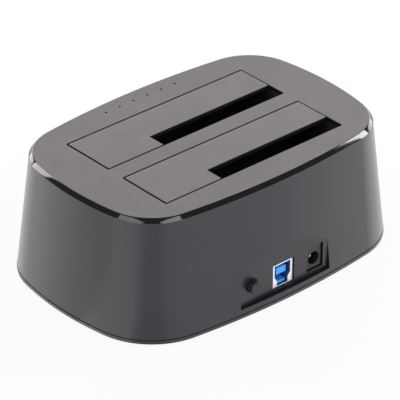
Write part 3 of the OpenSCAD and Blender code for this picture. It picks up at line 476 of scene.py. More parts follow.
def bay_middle(bays, bay):
    """Y of the middle of a bay."""
    return FLAP_BOX[bay][0].y - bays.flap_gap + bays.bay_width / 2


def axle(bay):
    """Middle and radius of a bay's hinge pin."""
    low, high = PIN_BOX[bay]
    return (low + high) / 2, (high.z - low.z) / 2


def light_places(ports):
    """X of the status lights."""
    return [(count - (LIGHTS - 1) / 2) * ports.light_pitch for count in range(LIGHTS)]


# Finishes

def feed(tree, node, **values):
    """Sets a node's inputs, an underscore standing for a space, and its lower-case settings."""
    for name, value in values.items():
        if name.islower():
            setattr(node, name, value)
        elif isinstance(value, bpy.types.NodeSocket):
            tree.links.new(value, node.inputs[name.replace("_", " ")])
        else:
            node.inputs[name.replace("_", " ")].default_value = value
    return node


def add(tree, kind, **values):
    """A new shader node with its settings and inputs."""
    return feed(tree, tree.nodes.new(f"ShaderNode{kind}"), **values)


def join(tree, node, *values):
    """Links values to a node's inputs in their order, and gives its first output."""
    for value, socket in zip(values, node.inputs):
        tree.links.new(value, socket)
    return node.outputs[0]


def calc(tree, operation, *values):
    """The result of a math node."""
    return join(tree, add(tree, "Math", operation=operation), *values)


def ramp(tree, value, start, end, low=0.0, high=1.0):
    """A number that goes from low to high while a value goes from start to end."""
    reach = add(tree, "MapRange", Value=value, From_Min=start, From_Max=end, To_Min=low, To_Max=high)
    return reach.outputs["Result"]


def noise(tree, where, scale, **values):
    """The mask of a noise."""
    return add(tree, "TexNoise", Vector=where, Scale=scale, **values).outputs["Fac"]


def place_on(tree):
    """The Object coordinates."""
    return add(tree, "TexCoord").outputs["Object"]


def blend_tone(tree, mask, dark, light):
    """A colour between two, given as numbers or by a link, by a mask."""
    mix = add(tree, "Mix", data_type="RGBA", Factor=mask)
    for tone, socket in zip((dark, light), (s for s in mix.inputs if s.type == "RGBA")):
        if isinstance(tone, bpy.types.NodeSocket):
            tree.links.new(tone, socket)
        else:
            socket.default_value = (*tone, 1)
    return next(s for s in mix.outputs if s.type == "RGBA")


def new_group(name, inputs, outputs):
    """An empty shader group with number sockets, what it is given and its end node."""
    group = bpy.data.node_groups.new(name, "ShaderNodeTree")
    for labels, side in ((inputs, "INPUT"), (outputs, "OUTPUT")):
        for label in labels:
            group.interface.new_socket(label, in_out=side, socket_type="NodeSocketFloat")
    return group, group.nodes.new("NodeGroupInput").outputs, group.nodes.new("NodeGroupOutput")


def moulded_grain():
    """Spark-eroded grain, slow drift of tone and the film that hands leave."""
    group, given, result = new_group("moulded_grain", ("Grain", "Drift"), ("Height", "Tone", "Film"))
    where = place_on(group)
    feed(group, result, Height=noise(group, where, given["Grain"], Detail=3.0, Roughness=0.6),
         Tone=noise(group, where, given["Drift"], Detail=2.0, Roughness=0.5),
         Film=noise(group, where, 70.0, Detail=4.0, Roughness=0.55, Distortion=0.8))
    return group


def drawn_streaks():
    """Fine streaks of rolled or drawn metal along X, with a slow drift of tone."""
    group, given, result = new_group("drawn_streaks", ("Fineness",), ("Height", "Tone", "Film"))
    where = place_on(group)
    long = add(group, "Mapping", Vector=where, Scale=(0.06, 1.0, 1.0)).outputs["Vector"]
    lines = noise(group, long, given["Fineness"], Detail=3.0, Roughness=0.65)
    feed(group, result, Height=lines, Tone=noise(group, where, 180.0, Detail=2.0), Film=lines)
    return group


def board_tracks():
    """Masks of the raised tracks and of the bare pads on a circuit board."""
    group, given, result = new_group("board_tracks", ("Pitch",), ("Tracks", "Pads"))
    where = place_on(group)
    cells = add(group, "TexVoronoi", distance="CHEBYCHEV", Vector=where, Scale=given["Pitch"],
                Randomness=0.35)
    ways = add(group, "TexWave", wave_profile="TRI", Vector=where, Scale=given["Pitch"], Distortion=6.0,
               Detail=1.0)
    feed(group, result, Tracks=ramp(group, ways.outputs["Fac"], 0.55, 0.62),
         Pads=ramp(group, cells.outputs["Distance"], 0.16, 0.12))
    return group


def effect(tree, make, **values):
    """The outputs of a shader group, made on its first use and placed with its own values."""
    group = bpy.data.node_groups.get(make.__name__) or make()
    return add(tree, "Group", node_tree=group, **values).outputs


def finish_from(name):
    """A new material, its node tree and its shader, or the finished one and two blanks."""
    made = bpy.data.materials.get(name)
    if made:
        return made, None, None
    made = bpy.data.materials.new(name)
    made.use_nodes = True
    tree = made.node_tree
    return made, tree, tree.nodes["Principled BSDF"]


def bump(tree, height, deep, strength):
    """Normals raised by a mask."""
    return add(tree, "Bump", Strength=strength, Distance=deep, Height=height).outputs["Normal"]


def lay(tree, shader, marks, tones, rough, reach):
    """Gives a shader its colour and roughness by the marks of an effect."""
    feed(tree, shader, Base_Color=blend_tone(tree, marks["Tone"], *tones),
         Roughness=ramp(tree, marks["Film"], FILM_LOW, FILM_HIGH, rough - reach, rough + reach))


def plastic(name, rgb, rough, grain=4200.0, deep=0.00001, drift=22.0, vary=0.06, gloss=0.5):
    """Moulded plastic with its grain, drift of tone and film."""
    made, tree, shader = finish_from(name)
    if tree:
        marks = effect(tree, moulded_grain, Grain=grain, Drift=drift)
        tones = [[c * share for c in rgb] for share in (1 - vary, 1 + vary)]
        lay(tree, shader, marks, tones, rough, PLASTIC_SPREAD)
        feed(tree, shader, Normal=bump(tree, marks["Height"], deep, 0.6), Specular_IOR_Level=gloss)
    return made


def metal(name, rgb, rough, fine=9000.0, deep=0.000004, shine=1.0):
    """Drawn or plated metal with fine streaks."""
    made, tree, shader = finish_from(name)
    if tree:
        marks = effect(tree, drawn_streaks, Fineness=fine)
        lay(tree, shader, marks, ([c * 0.9 for c in rgb], rgb), rough, METAL_SPREAD)
        feed(tree, shader, Normal=bump(tree, marks["Height"], deep, 0.5), Metallic=shine)
    return made


def circuit(name, rgb):
    """Solder mask over tracks, with bare pads."""
    made, tree, shader = finish_from(name)
    if tree:
        marks = effect(tree, board_tracks, Pitch=420.0)
        masked = blend_tone(tree, marks["Tracks"], rgb, [min(1, c * 1.7) for c in rgb])
        feed(tree, shader, Base_Color=blend_tone(tree, marks["Pads"], masked, (0.62, 0.6, 0.55)),
             Metallic=marks["Pads"], Normal=bump(tree, marks["Tracks"], 0.00003, 0.5), Roughness=0.28)
    return made


def satin(name, rgb, rough, gloss=0.7, start=0.31):
    """Satin plastic whose upright faces gain a sheen towards their outline, from a share of turning on."""
    if name in bpy.data.materials:
        return bpy.data.materials[name]
    made = plastic(name, rgb, rough, deep=0.000005, gloss=gloss)
    tree = made.node_tree
    facing = add(tree, "LayerWeight", Blend=0.5).outputs["Facing"]
    way = add(tree, "SeparateXYZ", Vector=add(tree, "NewGeometry").outputs["Normal"])
    sheen = calc(tree, "MULTIPLY", ramp(tree, facing, start, start + SHEEN_SPAN),
                 ramp(tree, way.outputs["Z"], DECK_RISE, WALL_RISE))
    feed(tree, tree.nodes["Principled BSDF"], Coat_Weight=sheen, Coat_Roughness=rough)
    return made


def satin_shell(finishes):
    """The satin plastic of the housing and base."""
    return satin("satin_shell", finishes.shell, SHELL_ROUGH)


def satin_panel(finishes):
    """The satin plastic of the flat port panel, a little duller than the walls."""
    return satin("satin_panel", finishes.shell, SHELL_ROUGH, gloss=0.66, start=0.38)


def matt_recess(finishes):
    """Darker plastic of slot edges, port holes and the ledge: painted shade of these recesses, on a matt,
    low-gloss finish.
    """
    return plastic("matt_recess", finishes.recess, 0.55, gloss=0.1)


def polished_edge(finishes):
    """The polished chamfer."""
    return plastic("polished_edge", finishes.polish, 0.07, grain=900.0, deep=0.0000006, vary=0.1, gloss=0.7)


def port_lining(finishes):
    """The lining of the data port, a darker copy of its blue plastic: painted shade of the deep mouth."""
    return plastic("port_lining", finishes.port_navy, 0.25, deep=0.000004, vary=0.08)


# Pieces

class DOCK_OT_housing(bpy.types.Operator):
    """Model the moulded housing with its chamfer, bays, port panel and light holes"""

    bl_idname = "dock.make_housing"
    bl_label = "Housing"

    def execute(self, context):
        sizes = context.scene.dock_housing
        bays = context.scene.dock_bays
        ports = context.scene.dock_ports
        finishes = context.scene.dock_finishes
        shell = self.shell(sizes)
        for finish in (satin_shell, polished_edge, matt_recess, satin_panel):
            shell.data.materials.append(finish(finishes))
        combine(shell, [self.hollow(sizes, ports)], "DIFFERENCE")
        combine(shell, self.openings(sizes, bays, ports), "DIFFERENCE")
        self.round_rims(shell, sizes, bays, ports)
        set_piece(shell, "dock", "housing", "upper_housing")
        return {"FINISHED"}

    def shell(self, sizes):
        """The solid outer form, its chamfer marked for the polish."""
        edge_z = TOP_Z - sizes.chamfer_height
        section = [(wall_out(sizes, SEAM_Z), SEAM_Z), (sizes.chamfer_width, edge_z)]
        lean = Vector((sizes.chamfer_height, sizes.chamfer_width)).normalized()
        for step in range(1, CROWN_STEPS):
            part = step / CROWN_STEPS
            rise = 4 * part * (1 - part) * sizes.chamfer_crown
            section.append((sizes.chamfer_width * (1 - part) + rise * lean.x,
                            edge_z + sizes.chamfer_height * part + rise * lean.y))
        section.append((0, TOP_Z))
        bm = bowed_solid(sizes, section)
        for face in bm.faces:
            if len(face.verts) == 4 and face.calc_center_median().z > edge_z:
                face.material_index = POLISH_SLOT
        soften(bm, edges_at(bm, Z, TOP_Z) + edges_at(bm, Z, edge_z), sizes.edge_round)
        soften(bm, edges_at(bm, Z, SEAM_Z), sizes.seam_round)
        return solid(bm, "housing_shell")

    def hollow(self, sizes, ports):
        """The space inside the walls, short of the solid behind the port panel."""
        ends = (SEAM_Z - sizes.wall, TOP_Z - sizes.deck)
        inside = solid(bowed_solid(sizes, [(wall_out(sizes, z) - sizes.wall, z) for z in ends]), "hollow")
        half = ports.panel_width / 2 + sizes.wall
        back = panel_face(sizes, ports) + ports.panel_thick
        backing = solid(block((-half, -sizes.deck_depth, 0), (half, back, 2 * TOP_Z)), "backing")
        combine(inside, [backing], "DIFFERENCE")
        return inside

    def openings(self, sizes, bays, ports):
        """Tools for the bays, light holes, port panel and port holes."""
        under, over = TOP_Z - 2 * sizes.deck, TOP_Z + sizes.deck
        tools = []
        for bay in BAYS:
            middle = bay_middle(bays, bay)
            tool = block((-bays.bay_length / 2, middle - bays.bay_width / 2, under),
                         (bays.bay_length / 2, middle + bays.bay_width / 2, over))
            soften(tool, edges_along(tool, UP), bays.bay_corner, CORNER_SEGMENTS)
            tools.append(solid(tool, "bay_tool"))
        for x in light_places(ports):
            hole = rod((x, LIGHT_ROW, under), (x, LIGHT_ROW, over), ports.light_hole, ROUND_SIDES)
            tools.append(solid(hole, "light_tool"))
        face = panel_face(sizes, ports)
        ledge = BASE_Z + ports.ledge_height
        half = ports.panel_width / 2
        tools.append(solid(block((-half, -sizes.deck_depth, ledge), (half, face, TOP_Z)), "panel_tool"))
        near, far = face - sizes.wall, face + ports.panel_thick + sizes.wall
        gap = Vector((ports.port_gap, 0, ports.port_gap))
        for box in (USB_BOX, JACK_BOX):
            low, high = box[0] - gap, box[1] + gap
            if box is USB_BOX:
                high.z = low.z + high.x - low.x
            tools.append(solid(block((low.x, near, low.z), (high.x, far, high.z)), "port_tool"))
        at = (BUTTON_BOX[0] + BUTTON_BOX[1]) / 2
        hole = rod((at.x, near, at.z), (at.x, far, at.z), ports.button_radius + ports.button_gap)
        tools.append(solid(hole, "button_tool"))
        return tools

    def round_rims(self, shell, sizes, bays, ports):
        """Softens the rims that hands and light meet, paints shade onto recess faces with the darker
        plastic, and smooth-shades the shell.
        """
        bm = reopen(shell)
        face = panel_face(sizes, ports)
        ledge = BASE_Z + ports.ledge_height
        half = ports.panel_width / 2
        rims = []
        for edge in bm.edges:
            if len(edge.link_faces) != 2 or not edge.is_convex or edge.calc_face_angle(0) < RIM_TURN:
                continue
            on_deck = lies_at(edge, Z, TOP_Z) and edge.calc_length() > SHORT_EDGE
            on_side = all(abs(abs(v.co.x) - half) < TINY for v in edge.verts)
            outside = all(v.co.y < face for v in edge.verts)
            on_frame = outside and (on_side or lies_at(edge, Z, ledge))
            if on_deck or on_frame or lies_at(edge, Y, face):
                rims.append(edge)
        soften(bm, rims, sizes.rim_round, clamp=False)
        for edge in edges_at(bm, Y, face):
            if edge.calc_face_angle(0) > PANEL_TURN:
                edge.smooth = False
        # The ledge, the panel's ends, the port holes and the slot walls take the darker recess plastic,
        # which is painted shade.
        for item in bm.faces:
            at, way = item.calc_center_median(), item.normal
            in_panel = abs(at.x) < half + TINY and at.z < TOP_Z - sizes.chamfer_height
            outside = in_panel and at.y < face
            on_ledge = outside and way.z > FACING and abs(at.z - ledge) < sizes.rim_round
            on_end = outside and abs(way.x) > FACING and at.z > ledge
            in_port = (in_panel and abs(way.y) < EDGE_ON
                       and face + sizes.rim_round < at.y < face + ports.panel_thick - TINY)
            in_slot = (abs(way.z) < UPRIGHT and TOP_Z - sizes.deck < at.z < TOP_Z - sizes.rim_round
                       and abs(at.x) < bays.bay_length / 2 + TINY
                       and abs(at.y) < sizes.deck_depth / 2 - sizes.wall)
            if on_ledge or on_end or in_port or in_slot:
                item.material_index = RECESS_SHADE_SLOT
            elif in_panel and abs(at.y - face) < TINY:
                item.material_index = PANEL_SLOT
        shade(bm, shell)


class DOCK_OT_flaps(bpy.types.Operator):
    """Model the two sprung flaps with their ribs, hinge arms and knuckles"""

    bl_idname = "dock.make_flaps"
    bl_label = "Flaps"

    def execute(self, context):
        bays = context.scene.dock_bays
        finishes = context.scene.dock_finishes
        finish = satin("satin_flap", finishes.flap, 0.33)
        for bay in BAYS:
            flap = self.plate(bays, bay)
            combine(flap, self.ribs_and_arms(bays, bay), "UNION")
            combine(flap, self.bores(bays, bay), "DIFFERENCE")
            bm = reopen(flap)
            # The flap's edges, ribs, arms and knuckles below its rounded top, unless facing down, take the
            # darker recess plastic: painted shade by the slots.
            for face in bm.faces:
                below = face.calc_center_median().z < TOP_Z - bays.flap_round
                face.material_index = int(below and face.normal.z > -UPRIGHT)
            shade(bm, flap)
            set_piece(flap, f"{bay}_flap", "flap", f"{bay}_flap", finish, matt_recess(finishes))
        return {"FINISHED"}

    def knuckle_places(self, bays):
        """X of the hinge knuckles."""
        return [side * part * bays.bay_length / 2 for side in (-1, 1) for part in KNUCKLE_SHARES]

    def plate(self, bays, bay):
        """The L-shaped plate with rounded corners and softened upper edges."""
        left, right = (corner.x for corner in FLAP_BOX[bay])
        middle = bay_middle(bays, bay)
        low = middle - bays.bay_width / 2 + bays.flap_gap
        high = middle + bays.bay_width / 2 - bays.flap_gap
        step_x = bays.bay_length / 2 - bays.slot_length
        step_y = middle - bays.bay_width / 2 + bays.slot_width
        under = TOP_Z - bays.flap_thick
        outline = [(left, low), (step_x, low), (step_x, step_y), (right, step_y), (right, high),
                   (left, high)]
        bm = prism([(x, y, under) for x, y in outline], (0, 0, bays.flap_thick))
        bmesh.ops.recalc_face_normals(bm, faces=bm.faces)
        corners = [e for e in edges_along(bm, UP) if lies_at(e, X, left) or lies_at(e, X, right)]
        soften(bm, corners, bays.bay_corner - bays.flap_gap / 2, CORNER_SEGMENTS)
        soften(bm, edges_at(bm, Z, TOP_Z), bays.flap_round)
        return solid(bm, f"{bay}_flap_cover")

    def ribs_and_arms(self, bays, bay):
        """The ribs under the plate, and the arms that reach under the deck to the knuckles."""
        middle = bay_middle(bays, bay)
        at, pin = axle(bay)
        knuckle = pin + bays.knuckle_wall
        under = TOP_Z - bays.flap_thick
        over = under - at.z
        step = at.y - middle - bays.bay_width / 2 + bays.flap_gap
        far = step + bays.arm_reach
        slot_x = bays.bay_length / 2 - bays.slot_length
        outline = [(-far, over + BITE), (-step, over + BITE), (-step, knuckle + ARM_RISE), (0, knuckle),
                   (0, -knuckle), (-step / 2, -ARM_WAIST * knuckle), (-far, over - bays.rib_high)]
        tools = []
        for x in self.knuckle_places(bays):
            start, end = x - bays.knuckle_long / 2, x + bays.knuckle_long / 2
            arm = prism([(start, at.y + y, at.z + z) for y, z in outline], ALONG * bays.knuckle_long)
            tools.append(solid(arm, "arm"))
            barrel = rod((start, at.y, at.z), (end, at.y, at.z), knuckle, sides=36)
            tools.append(solid(barrel, "knuckle"))
            front = middle - bays.bay_width / 2 + RIB_INSET + (0 if x < slot_x else bays.slot_width)
            rib = block((x - bays.rib_thick / 2, front, under - bays.rib_high),
                        (x + bays.rib_thick / 2, at.y - far + RIB_LAP, under + BITE))
            tools.append(solid(rib, "rib"))
        return tools

    def bores(self, bays, bay):
        """Tools for the pin's bores through the knuckles."""
        at, pin = axle(bay)
        reach = bays.knuckle_long
        drills = [rod((x - reach, at.y, at.z), (x + reach, at.y, at.z), pin + PIN_CLEAR, sides=32)
                  for x in self.knuckle_places(bays)]
        return [solid(drill, "bore") for drill in drills]


class DOCK_OT_base(bpy.types.Operator):
    """Finish the base plate and model its four rubber feet"""

    bl_idname = "dock.make_base"
    bl_label = "Base and feet"

    def execute(self, context):
        finishes = context.scene.dock_finishes
        self.plate(context.scene.dock_housing, satin_shell(finishes))
        rubber = plastic("foot_rubber", finishes.rubber, 0.7, grain=2600.0, deep=0.00002, vary=0.15)
        for node in FEET:
            low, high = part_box(node)
            centre = Vector(((low.x + high.x) / 2, (low.y + high.y) / 2, low.z))
            radius = (high.x - low.x) / 2
            tall = high.z - low.z
            section = [(share * radius, z) for share, z in FOOT_PROFILE] + [(radius, tall), (0, tall)]
            foot = solid(turned(section, centre, UP), f"{node}_pad")
            shade(reopen(foot), foot)
            set_piece(foot, "dock", "rubber", node, rubber)
        return {"FINISHED"}

    def plate(self, sizes, finish):
        """A merged copy of the base plate's solid with its rim rounded over."""
        tray, bm = merged_copy("base_plate", "base_tray")
        for z, lift in ((BASE_Z, 0), (SEAM_Z - sizes.seam_height, sizes.seam_lift)):
            ring = self.rim(bm, z)
            bmesh.ops.translate(bm, vec=UP * lift, verts=list({v for e in ring for v in e.verts}))
            soften(bm, ring, sizes.seam_round)
        shade(bm, tray)
        set_piece(tray, "dock", "housing", "base_plate", finish)

    def rim(self, bm, z):
        """The edges of the outermost ring at a height."""
        level = [e for e in edges_at(bm, Z, z, 10 * TINY) if e.calc_face_angle(0) > CORNER_TURN]
        reached = {max((v for e in level for v in e.verts), key=lambda v: v.co.x)}
        count = 0
        while count < len(reached):
            count = len(reached)
            for edge in level:
                if any(v in reached for v in edge.verts):
                    reached.update(edge.verts)
        return [e for e in level if e.verts[0] in reached]


class DOCK_OT_ports(bpy.types.Operator):
    """Model the power button and finish the two ports"""

    bl_idname = "dock.make_ports"
    bl_label = "Button and ports"

    def execute(self, context):
        ports = context.scene.dock_ports
        finishes = context.scene.dock_finishes
        self.button(ports, plastic("satin_button", finishes.shell, 0.4))
        self.jack(ports, finishes)
        self.usb_frame(ports, finishes)
        self.insulator(ports, finishes)
        return {"FINISHED"}

    def usb_frame(self, ports, finishes):
        """A merged copy of the data port's metal shell, its inner mouth faces in the darker blue: painted
        shade.
        """
        low, high = USB_BOX
        top = low.z + high.x - low.x
        skin = ports.frame_skin
        shell, bm = merged_copy("usb_shell", "usb_shell_frame")
        # Faces inside the mouth, behind its front, take the darker blue, which is painted shade.
        for face in bm.faces:
            at = face.calc_center_median()
            inner = low.x + skin < at.x < high.x - skin and low.z + skin < at.z < top - skin
            face.material_index = int(inner and at.y > low.y + TINY)
        shade(bm, shell)
        plating = metal("port_plating", finishes.plating, 0.3, shine=0.3)
        set_piece(shell, "dock", "port_metal", "usb_shell", plating, port_lining(finishes))

    def insulator(self, ports, finishes):
        """A merged copy of the data port's insulator, its lining in a darker blue than its tongues: painted
        shade.
        """
        low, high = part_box("usb_insulator")
        body, bm = merged_copy("usb_insulator", "usb_insulator_body")
        middle = (low.x + high.x) / 2
        root = high.y - ports.tongue_root
        # Faces off the tongues and above the upper tongue take the darker blue, which is painted shade.
        for face in bm.faces:
            at = face.calc_center_median()
            on_tongue = abs(at.x - middle) < ports.tongue_half + TINY and at.y < root
            face.material_index = int(not on_tongue or at.z > high.z - ports.tongue_drop)
        lower = [v for v in bm.verts if abs(v.co.x - middle) < ports.tongue_half - TINY
                 and v.co.y < root and v.co.z < low.z + ports.tongue_rise]
        bmesh.ops.translate(bm, vec=-UP * ports.tongue_sag, verts=lower)
        shade(bm, body)
        tongue = plastic("port_tongue", finishes.port_blue, 0.3, deep=0.000004, vary=0.08)
        set_piece(body, "dock", "port_blue", "usb_insulator", tongue, port_lining(finishes))

    def jack(self, ports, finishes):
        """A merged copy of the power jack's solid, its bore in a darker plastic as painted shade, with
        softened front edges.
        """
        low, high = JACK_BOX
        body, bm = merged_copy("dc_jack_body", "dc_jack_socket")
        x, z = (low.x + high.x) / 2, low.z + ports.jack_drop
        reach = ports.jack_bore / 2 + ports.jack_round
        # Faces inside the socket take the darker bore plastic, which is painted shade.
        for face in bm.faces:
            at = face.calc_center_median()
            inside = low.y + TINY < at.y < high.y - TINY
            face.material_index = int(inside and hypot(at.x - x, at.z - z) < reach)
        front = [e for e in edges_at(bm, Y, low.y) if e.calc_face_angle(0) > CORNER_TURN]
        soften(bm, front, ports.jack_round)
        shade(bm, body)
        nylon = plastic("jack_nylon", finishes.nylon, 0.36, gloss=0.55)
        bore = plastic("jack_bore", finishes.bore, 0.5, gloss=0.3)
        set_piece(body, "dock", "connector_black", "dc_jack_body", nylon, bore)

    def button(self, ports, finish):
        """The turned cap with its flange behind the panel."""
        low, high = BUTTON_BOX
        centre = Vector(((low.x + high.x) / 2, low.y, (low.z + high.z) / 2))
        radius = ports.button_radius
        edge = ports.button_edge
        flange = (high.x - low.x) / 2
        whole = high.y - low.y
        front = whole - BUTTON_NECK - BUTTON_FLANGE
        back = front + BUTTON_FLANGE
        floor = front + BUTTON_WEB
        section = [(share * radius, along) for share, along in BUTTON_DISH]
        section += [(radius - inward * edge, along * edge) for inward, along in BUTTON_RIM]
        section += [(radius, front), (flange, front), (flange, back), (radius - edge, back),
                    (radius - edge, whole), (BUTTON_BORE, whole), (BUTTON_BORE, floor), (0, floor)]
        cap = solid(turned(section, centre, INWARD, sides=56), "power_button_cap")
        shade(reopen(cap), cap)
        set_piece(cap, "power_button", "flap", "power_button", finish)


class DOCK_OT_lights(bpy.types.Operator):
    """Model the light guide with its six smoked tips sunk in the deck"""

    bl_idname = "dock.make_lights"
    bl_label = "Status lights"

    def execute(self, context):
        ports = context.scene.dock_ports
        finishes = context.scene.dock_finishes
        low, high = GUIDE_BOX
        under = TOP_Z - context.scene.dock_housing.deck
        bar = block(low, (high.x, high.y, under))
        soften(bar, edges_along(bar, ALONG), GUIDE_ROUND)
        guide = solid(bar, "light_guide_bar")
        radius = ports.light_hole - LIGHT_CLEAR
        pins = []
        for x in light_places(ports):
            at = Vector((x, LIGHT_ROW, under - LIGHT_ROOT))
            tall = TOP_Z - ports.light_sink - at.z
            section = [(0, 0), (radius, 0)] + [(share * radius, tall - drop) for share, drop in LIGHT_TIP]
            pins.append(solid(turned(section, at, UP, ROUND_SIDES), "light_pin"))
        combine(guide, pins, "UNION")
        shade(reopen(guide), guide)
        smoked = plastic("smoked_guide", finishes.lens, 0.2, deep=0.000003, vary=0.15)
        set_piece(guide, "dock", "light_guide", "light_guide", smoked)
        return {"FINISHED"}


class DOCK_OT_insides(bpy.types.Operator):
    """Finish the cradles, hinges, boards, connectors and screws inside"""

    bl_idname = "dock.finish_insides"
    bl_label = "Insides"

    def execute(self, context):
        finishes = context.scene.dock_finishes
        dress(plastic("cradle_black", finishes.well, 0.55, gloss=0.25), "front_cradle", "rear_cradle")
        dress(metal("screw_zinc", finishes.steel, 0.34), "base_screws", "cradle_screws", "board_screws",
              "light_board_screws")
        dress(metal("pin_steel", (0.62, 0.63, 0.65), 0.22), "front_hinge_pin", "rear_hinge_pin",
              "dc_jack_pin")
        dress(metal("spring_wire", (0.5, 0.51, 0.53), 0.28), "front_flap_spring", "rear_flap_spring",
              "dc_jack_contact")
        dress(circuit("solder_mask", finishes.board), "main_board", "light_board")
        dress(plastic("connector_nylon", (0.014, 0.014, 0.015), 0.48, grain=6000.0), "front_sata_connector",
              "rear_sata_connector", "switch_body")
        dress(metal("contact_gold", finishes.gold, 0.2), "front_sata_contacts", "rear_sata_contacts",
              "usb_contacts")
        dress(plastic("chip_resin", (0.025, 0.025, 0.027), 0.5, grain=8000.0), "bridge_chip",
              "firmware_chip")
        dress(metal("drawn_can", (0.7, 0.71, 0.73), 0.3), "crystal", "capacitors")
        dress(plastic("ferrite", (0.06, 0.06, 0.062), 0.62, grain=3000.0), "power_inductors")
        dress(plastic("pale_plastic", (0.72, 0.7, 0.63), 0.42), "switch_plunger", "ribbon_sockets")
        dress(plastic("light_chip", (0.78, 0.74, 0.52), 0.25), "status_leds")
        dress(plastic("ribbon_film", (0.62, 0.62, 0.64), 0.35, grain=1500.0), "light_ribbon")
        return {"FINISHED"}


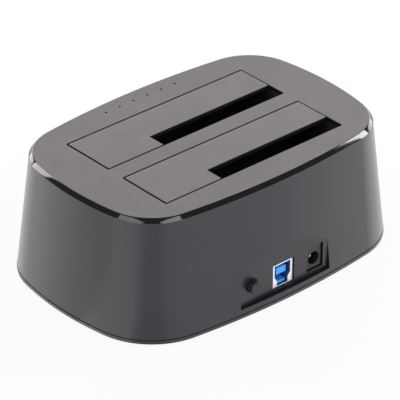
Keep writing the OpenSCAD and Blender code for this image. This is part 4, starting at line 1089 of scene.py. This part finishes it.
class DOCK_OT_stage(bpy.types.Operator):
    """Set the floor, soft boxes, room light and camera"""

    bl_idname = "dock.make_stage"
    bl_label = "Stage"

    def execute(self, context):
        studio = context.scene.dock_studio
        self.floor(studio)
        self.cards(context.scene.dock_housing, studio)
        self.lamps(studio)
        self.room(context.scene, studio)
        self.camera(context.scene, studio)
        context.scene.view_settings.view_transform = "Standard"
        return {"FINISHED"}

    def floor(self, studio):
        """A wide sheet of white paper, plain white to the camera and in reflections."""
        bm = bmesh.new()
        bmesh.ops.create_circle(bm, cap_ends=True, radius=9, segments=96)
        paper = as_object(bm, "paper_floor")
        made, tree, shader = finish_from("white_paper")
        tone = effect(tree, moulded_grain, Grain=1200.0, Drift=3.0)["Tone"]
        dark = [c * 0.99 for c in studio.floor]
        feed(tree, shader, Base_Color=blend_tone(tree, tone, dark, studio.floor), Roughness=0.9,
             Specular_IOR_Level=0.1)
        seen = add(tree, "LightPath").outputs
        rays = calc(tree, "MAXIMUM", seen["Is Camera Ray"], seen["Is Glossy Ray"])
        rays = calc(tree, "MAXIMUM", rays, seen["Is Transmission Ray"])
        away = add(tree, "VectorMath", operation="LENGTH", Vector=place_on(tree)).outputs["Value"]
        white = ramp(tree, away, WHITE_NEAR, WHITE_FAR, studio.glow)
        glow = add(tree, "Emission", Color=(1, 1, 1, 1), Strength=1.0)
        share = calc(tree, "MULTIPLY", rays, white)
        both = join(tree, add(tree, "MixShader"), share, shader.outputs[0], glow.outputs[0])
        feed(tree, tree.nodes["Material Output"], Surface=both)
        paper.data.materials.append(made)

    def cards(self, sizes, studio):
        """A grey and a bright card on the floor by the near corner, which only reflections show."""
        middle = -plan_arcs(sizes)[1][0] + UP * CARD_LIFT
        near, far = studio.card_near, studio.card_far
        for name in ("grey", "bright"):
            turn, half = getattr(studio, f"{name}_turn"), getattr(studio, f"{name}_half")
            bm = bmesh.new()
            corners = []
            for reach, side in ((near, -1), (far, -1), (far, 1), (near, 1)):
                way = Vector((cos(turn + side * half), sin(turn + side * half), 0))
                corners.append(bm.verts.new(middle + reach * way))
            bm.faces.new(corners)
            card = as_object(bm, f"{name}_card")
            made, tree, shader = finish_from(f"{name}_card")
            feed(tree, shader, Base_Color=(0, 0, 0, 1), Specular_IOR_Level=0, Emission_Color=(1, 1, 1, 1),
                 Emission_Strength=getattr(studio, f"{name}_level"))
            card.data.materials.append(made)
            card.visible_camera = False
            card.visible_diffuse = False
            card.visible_shadow = False

    def lamps(self, studio):
        """Soft boxes round the dock, their power set by their brightness."""
        # Name, azimuth and elevation in degrees, distance, width and height in metres, brightness, tint
        boxes = [
            ("front_left_head", 186.5, 43, 1.4, 0.95, 0.32, studio.front_left, studio.cool),
            ("front_left_box", 186.5, 18, 1.4, 1.15, 0.88, studio.left_fill, studio.cool),
            ("front_right_head", -93.5, 43, 1.4, 0.77, 0.32, studio.front_right, studio.cool),
            ("front_right_box", -93.5, 18, 1.4, 1.0, 0.88, studio.right_fill, studio.cool),
            ("left_strip", 116.3, 19, 0.84, 0.23, 0.5, studio.left_strip, studio.plain),
            ("left_box", 84.5, 6.5, 0.84, 0.66, 0.2, studio.left_light, studio.plain),
            ("right_strip", -24, 17, 0.89, 0.27, 0.52, studio.right_strip, studio.plain),
            ("right_box", 15.5, 7, 0.87, 0.85, 0.22, studio.right_light, studio.plain),
            ("back_box", 48, 35, 0.85, 0.98, 0.5, studio.back_light, studio.warm),
        ]
        middle = Vector((0, 0, TOP_Z / 2))
        for name, azimuth, elevation, away, wide, high, bright, tone in boxes:
            a, e = radians(azimuth), radians(elevation)
            way = Vector((cos(a) * cos(e), sin(a) * cos(e), sin(e)))
            data = bpy.data.lights.new(name, "AREA")
            data.shape = "RECTANGLE"
            data.size = wide
            data.size_y = high
            data.energy = bright * pi * wide * high
            data.color = tone
            lamp = bpy.data.objects.new(name, data)
            lamp.location = middle + way * away
            lamp.rotation_euler = (-way).to_track_quat("-Z", "Y").to_euler()
            lamp.visible_camera = False
            bpy.context.scene.collection.objects.link(lamp)

    def room(self, scene, studio):
        """White paper low down all round and a dim room above it."""
        world = bpy.data.worlds.new("room")
        world.use_nodes = True
        tree = world.node_tree
        way = add(tree, "SeparateXYZ", Vector=add(tree, "TexCoord").outputs["Generated"])
        height = ramp(tree, way.outputs["Z"], studio.sweep_top, studio.room_low)
        feed(tree, tree.nodes["Background"], Color=blend_tone(tree, height, studio.sweep, studio.sky))
        scene.world = world

    def camera(self, scene, studio):
        """The camera at the product shot's place."""
        data = bpy.data.cameras.new("camera")
        data.sensor_width = 36
        data.lens = studio.focal
        data.clip_start = 0.05
        data.clip_end = 50
        camera = bpy.data.objects.new("camera", data)
        camera.location = studio.stand
        camera.rotation_euler = studio.aim
        scene.collection.objects.link(camera)
        scene.camera = camera


class DOCK_PT_pieces(bpy.types.Panel):
    """Lists the dock's operators and settings"""

    bl_idname = "DOCK_PT_pieces"
    bl_label = "Drive Dock"
    bl_space_type = "VIEW_3D"
    bl_region_type = "UI"
    bl_category = "Drive Dock"

    def draw(self, context):
        column = self.layout.column()
        for operator in OPERATORS:
            column.operator(operator.bl_idname)
        for group in GROUPS:
            settings = getattr(context.scene, group)
            column.separator()
            for name in settings.bl_rna.properties.keys():
                if name not in ("rna_type", "name"):
                    column.prop(settings, name)


GROUPS = {
    "dock_housing": DockHousingSizes,
    "dock_bays": DockBaySizes,
    "dock_ports": DockPortSizes,
    "dock_finishes": DockFinishes,
    "dock_studio": DockStudio,
}
OPERATORS = (DOCK_OT_housing, DOCK_OT_flaps, DOCK_OT_base, DOCK_OT_ports, DOCK_OT_lights, DOCK_OT_insides,
             DOCK_OT_stage)


def register():
    for group, kind in GROUPS.items():
        bpy.utils.register_class(kind)
        setattr(bpy.types.Scene, group, PointerProperty(type=kind))
    for kind in (*OPERATORS, DOCK_PT_pieces):
        bpy.utils.register_class(kind)


def unregister():
    for kind in (DOCK_PT_pieces, *reversed(OPERATORS)):
        bpy.utils.unregister_class(kind)
    for group, kind in GROUPS.items():
        delattr(bpy.types.Scene, group)
        bpy.utils.unregister_class(kind)


def main():
    register()
    bpy.ops.dock.make_housing()
    bpy.ops.dock.make_flaps()
    bpy.ops.dock.make_base()
    bpy.ops.dock.make_ports()
    bpy.ops.dock.make_lights()
    bpy.ops.dock.finish_insides()
    bpy.ops.dock.make_stage()


if __name__ == "__main__":
    main()
